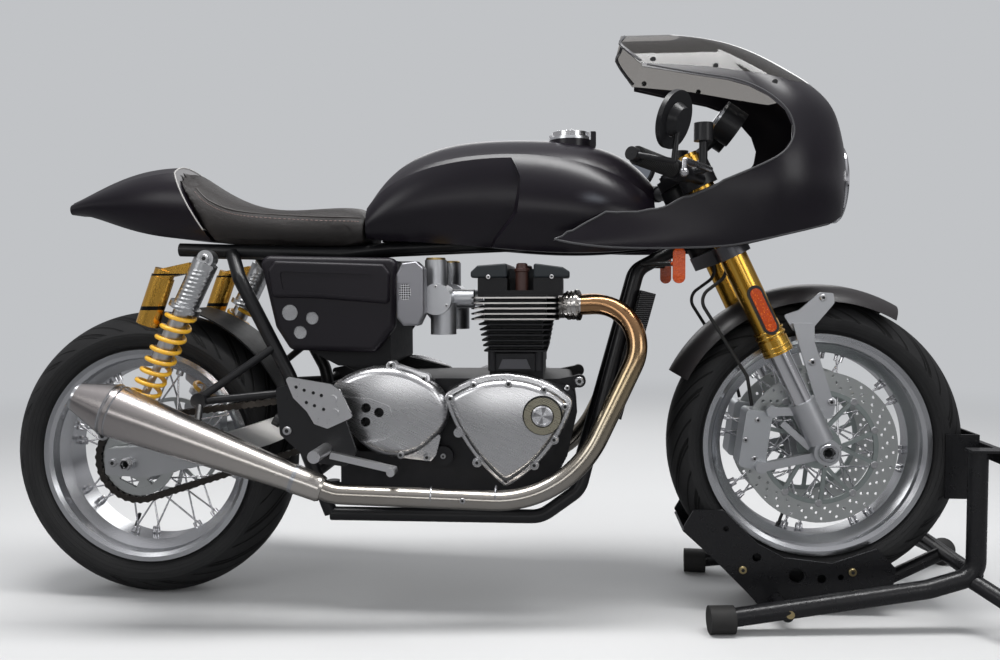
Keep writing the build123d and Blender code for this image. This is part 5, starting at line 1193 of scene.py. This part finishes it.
# %% Seat pad
PAD_SHRINK, PAD_VOXEL, PAD_TRAVEL, PAD_PRESSURE, PAD_FRAMES = 0.0045, 0.005, 0.006, 4.0, 20
leather = Finish("Saddle_leather", (0.030, 0.022, 0.019), 0.48, Specular_IOR_Level=0.3).wear(0.42, 0.12, 60.0)
leather.mottle(9.0, (0.012, 0.0105, 0.010), (0.022, 0.019, 0.018))
grain = (leather.cells(520.0, "DISTANCE_TO_EDGE") * 5.0).least(1.0)
leather.bump(grain * 0.6 + leather.noise(38.0) * 0.4, 0.0005, 0.7)


def settle(pad):
    """Bakes the pad's modifiers into its mesh."""
    graph = bpy.context.evaluated_depsgraph_get()
    graph.update()
    done = bpy.data.meshes.new_from_object(pad.evaluated_get(graph))
    pad.modifiers.clear()
    pad.data = done


def seat_pad():
    """The pad, blown up from a smaller copy of its solid."""
    shape = bmesh.new()
    shape.from_mesh(NODES["seat_pad"].data)
    bmesh.ops.remove_doubles(shape, verts=shape.verts, dist=0.0001)
    bmesh.ops.recalc_face_normals(shape, faces=shape.faces)
    for vertex in shape.verts:
        vertex.co -= vertex.normal * PAD_SHRINK
    mesh = bpy.data.meshes.new("saddle_pad")
    shape.to_mesh(mesh)
    shape.free()
    pad = linked("saddle_pad", mesh)
    remesh = pad.modifiers.new("Even", "REMESH")
    remesh.mode, remesh.voxel_size = "VOXEL", PAD_VOXEL
    settle(pad)
    start = [v.co.copy() for v in pad.data.vertices]
    cloth = pad.modifiers.new("Blow", "CLOTH")
    cloth.settings.use_pressure = True
    cloth.settings.uniform_pressure_force = PAD_PRESSURE
    cloth.settings.effector_weights.gravity = 0.0
    for step in range(1, PAD_FRAMES + 1):
        bpy.context.scene.frame_set(step)
    settle(pad)
    bpy.context.scene.frame_set(1)
    for vertex, before in zip(pad.data.vertices, start):
        moved = vertex.co - before
        if moved.length > PAD_TRAVEL:
            vertex.co = before + moved.normalized() * PAD_TRAVEL
    smooth = pad.modifiers.new("Smooth", "SUBSURF")
    smooth.levels = smooth.render_levels = 1
    settle(pad)
    for face in pad.data.polygons:
        face.use_smooth = True
    pad.data.materials.clear()
    pad.data.materials.append(leather.material)
    return pad


pad = seat_pad()
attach(pad, CHASSIS)
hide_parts("seat_pad")
print("seat faces", len(pad.data.polygons))

# %% Piping and stitches
PAD_SKIN = surface(pad.data)
SEAM_LINE = ((130, 880), (168, 850), (232, 829), (359, 819), (478, 815))


def on_pad(p, side, out):
    """The place on the pad's side next to p, lifted by out mm."""
    x, z, hit = p.x, p.z, None
    while hit is None:
        hit, normal, _ = across_bike(PAD_SKIN, x, z, side, 300)
        z -= 2
    return hit + normal * (out / 1000)


pipes, stitches = bmesh.new(), bmesh.new()
for side in SIDES:
    cord(pipes, [on_pad(p, side, 0.1) for p in curve(SEAM_LINE, 16)], 1.7)
    line = curve([(x, z - 8) for x, z in SEAM_LINE], 28)
    for a, b in zip(line[::2], line[1::2]):
        cord(stitches, [on_pad(a, side, 0.1), on_pad((a + b) / 2, side, 0.7), on_pad(b, side, 0.1)], 0.55, 5)
piece("seat_piping", pipes, cord_leather, CHASSIS)
piece("seat_stitches", stitches, thread, CHASSIS)

# %% [markdown]
# The tail cowl is cut by a sloping plane where it meets the pad, and a pale edging runs round that cut.
# Its line is the cowl's own vertices in the plane, sorted round the opening.

# %% Cowl edging
CUT_TOP, CUT_LOW, CUT_FOOT, CUT_MIDDLE = amid(38.2, 1000), amid(205, 700), 0.790, 0.830
slope = (CUT_LOW - CUT_TOP).normalized()
off_plane = Vector((slope.z, 0, -slope.x))
cowl = [v.co.copy() for v in NODES["tail_cowl"].data.vertices]
rim = [p for p in cowl if abs((p - CUT_TOP).dot(off_plane)) < 0.0003 and p.z > CUT_FOOT]
rim.sort(key=lambda p: Vector((p.y, p.z - CUT_MIDDLE)).angle_signed(Vector((0, -1))))
rim = [p for i, p in enumerate(rim) if not i or (p - rim[i - 1]).length > 0.002]
piece("cowl_edging", cord(bmesh.new(), rim, 1.5), pale_edge, CHASSIS)

# %% [markdown]
# ## Fairing edge, lamp ring and mirror
# A soft bead caps the fairing's cut edge, and a thicker one runs down the rear edge of the screen. Each is
# drawn through places just inside that edge, dropped on the shell from the side.

# %% Beads and rings
EDGE = ((1412, 789), (1345, 773), (1247, 752), (1185, 745), (1058, 743), (960, 748), (882, 762),
        (905, 776), (980, 814), (1078, 818), (1127, 839), (1200, 869), (1273, 899), (1311, 921),
        (1330, 948), (1333, 975), (1321, 1006), (1292, 1036), (1256, 1059), (1216, 1073),
        (1150, 1086), (1062, 1106))
RIM_LINE = ((1050, 1116), (1030, 1136), (1012, 1160), (1018, 1174), (1022, 1183))
NUDGES = ((0, 2), (0, -2), (2, 0), (-2, 0), (0, 4), (0, -4))
CARRIER = body_of(NODES["fairing"])[0]


def bead(name, node, line, out, steps, radius):
    """A cord on both sides of a node, through the places of a line that lie on it, nudged where they miss."""
    shape = bmesh.new()
    for side in SIDES:
        found = []
        for p in curve(line, steps):
            hits = (across_bike(SURFACES[node], p.x + dx, p.z + dz, side) for dx, dz in NUDGES)
            found += [hit + normal * (out / 1000) for hit, normal, _ in hits if hit is not None][:1]
        cord(shape, found, radius)
    piece(name, shape, edge_rubber, CARRIER)


bead("fairing_bead", "fairing", EDGE, -1.0, 5, 2.3)
bead("screen_bead", "screen", RIM_LINE, -1.2, 6, 3.4)
rows = [(0, 72), (0, 81.6), (5, 81.6), (9, 78), (7, 73), (0, 72)]
turned("lamp_ring", [(amid(1455, 882), (1, 0, 0))], rows, 72, chrome, CARRIER)

spots = []
for side in SIDES:
    centre, aim = at(1084, side * 352, 957), Vector((-0.78, -side * 0.55, 0.30)).normalized()
    hit = SURFACES["mirrors"].ray_cast(centre + aim * 0.1, -aim)[0] or centre + aim * 0.0046
    spots.append((hit, aim))
turned("mirror_glass", spots, [(0, 44), (0.8, 44)], 40, mirror_metal, FIXED)

# %% [markdown]
# ## Dials
# Two round dials look up at the rider: a bright bezel, a dark face with a scale of short marks, and a needle.
# The marks carry no figures.

# %% Dials
FACING, UPRIGHT = Vector((-0.82, 0, 0.57)).normalized(), Vector((0.57, 0, 0.82)).normalized()
MARKS, SWEEP, NEEDLE = 33, 270, -100


def mark(centre, degrees, ends, lift, thick):
    """A flat bar on a dial; its two ends are (radius, half width) in mm."""
    turn = radians(degrees)
    way = UPRIGHT * cos(turn) + ACROSS * sin(turn)
    beside = FACING.cross(way).normalized()
    (near, wide), (far, slim) = ends
    corners = ((near, -wide), (far, -slim), (far, slim), (near, wide))
    slab(marks, [centre + way * (r / 1000) + beside * (w / 1000) + FACING * lift for r, w in corners], thick)


bezels, faces, marks = bmesh.new(), bmesh.new(), bmesh.new()
for y in (-43, 43):
    centre = at(1214, y, 1012)
    lathed(bezels, centre, FACING, [(0, 33), (0, 38.4), (4, 38.4), (5, 37), (4, 33.5), (0, 33)], 48)
    lathed(bezels, centre + FACING * 0.0008, FACING, [(0, 4), (3, 3.4)], 20)
    lathed(faces, centre, FACING, [(0, 33.2), (0.8, 33.2)], 48)
    for i in range(MARKS):
        inner, half = (28, 0.35) if i % 4 else (25, 0.7)
        mark(centre, i * SWEEP / (MARKS - 1) - SWEEP / 2, ((inner, half), (31, half)), 0.0009, 0.2)
    mark(centre, NEEDLE, ((-6, 1.2), (28, 0.3)), 0.0016, 0.5)
piece("dial_bezels", bezels, trim_metal, FIXED)
piece("dial_faces", faces, dial_face, FIXED)
piece("dial_marks", marks, white, FIXED)

# %% [markdown]
# ## Filler lock
# The lid carries a round lock in its middle and a circle of small studs round it. Both ride with the lid.

# %% Filler lock
STUDS, STUD_CIRCLE = 28, 34
rows = [(0, 14), (2, 14), (3, 12.6), (3, 9), (1.6, 8.4)]
shape = lathed(bmesh.new(), amid(FILLER_X, 995.3), UPWARD, rows, 32)
for i in range(STUDS):
    turn = 2 * pi * i / STUDS
    place = at(FILLER_X + STUD_CIRCLE * cos(turn), STUD_CIRCLE * sin(turn), 995.2)
    lathed(shape, place, UPWARD, [(0, 2.4), (0.8, 2.0)], 8)
piece("filler_lock", shape, alloy, "filler_lid")

# %% [markdown]
# ## Pipe seams and wheel nuts
# Each lower pipe is joined twice, and the joints show as thin raised rings. The rear axle ends in a
# hexagonal nut, open in the middle, because the hollow shaft takes a stand pin.

# %% Pipe seams and nuts
PIPE_RADIUS = 0.020
spots = [(skin("header_pipes", x, 266, side) - Vector((0, side * PIPE_RADIUS, 0)), (1, 0, 0))
         for side in SIDES for x in (643, 767)]
rows = [(-1.6, 19), (-1.6, 20.3), (0, 21.0), (1.6, 20.3), (1.6, 19), (-1.6, 19)]
turned("pipe_seams", spots, rows, 40, trim_metal, CHASSIS)
faces_y = {side: skin("rear_axle", 10.5, 310, side).y - side * 0.0005 for side in SIDES}
spots = [(Vector((REAR.x, y, REAR.z)), (0, side, 0)) for side, y in faces_y.items()]
rows = [(0, 9.7), (0, 15), (1.5, 15), (1.5, 13), (9, 13), (10, 12), (10, 9.7), (0, 9.7)]
turned("axle_nuts", spots, rows, 6, zinc, CHASSIS)

# %% [markdown]
# ## Rear brake cylinder
# A small black cylinder stands behind the right foot plate and pushes the fluid to the rear caliper.
# A turned body between two thicker ends, with a bright rod at its lower end, is enough at this size.

# %% Rear brake cylinder
low_end, high_end = at(392, -180, 371), at(322, -180, 410)
way = high_end - low_end
long = way.length * 1000
rows = [(0, 7), (6, 7), (6, 11), (16, 11), (18, 9), (long - 16, 9), (long - 14, 12), (long, 12)]
turned("rear_brake_cylinder", [(low_end, way)], rows, 24, black_part, CHASSIS)
turned("rear_brake_rod", [(low_end, way)], [(-18, 3), (1, 3)], 12, zinc, CHASSIS)
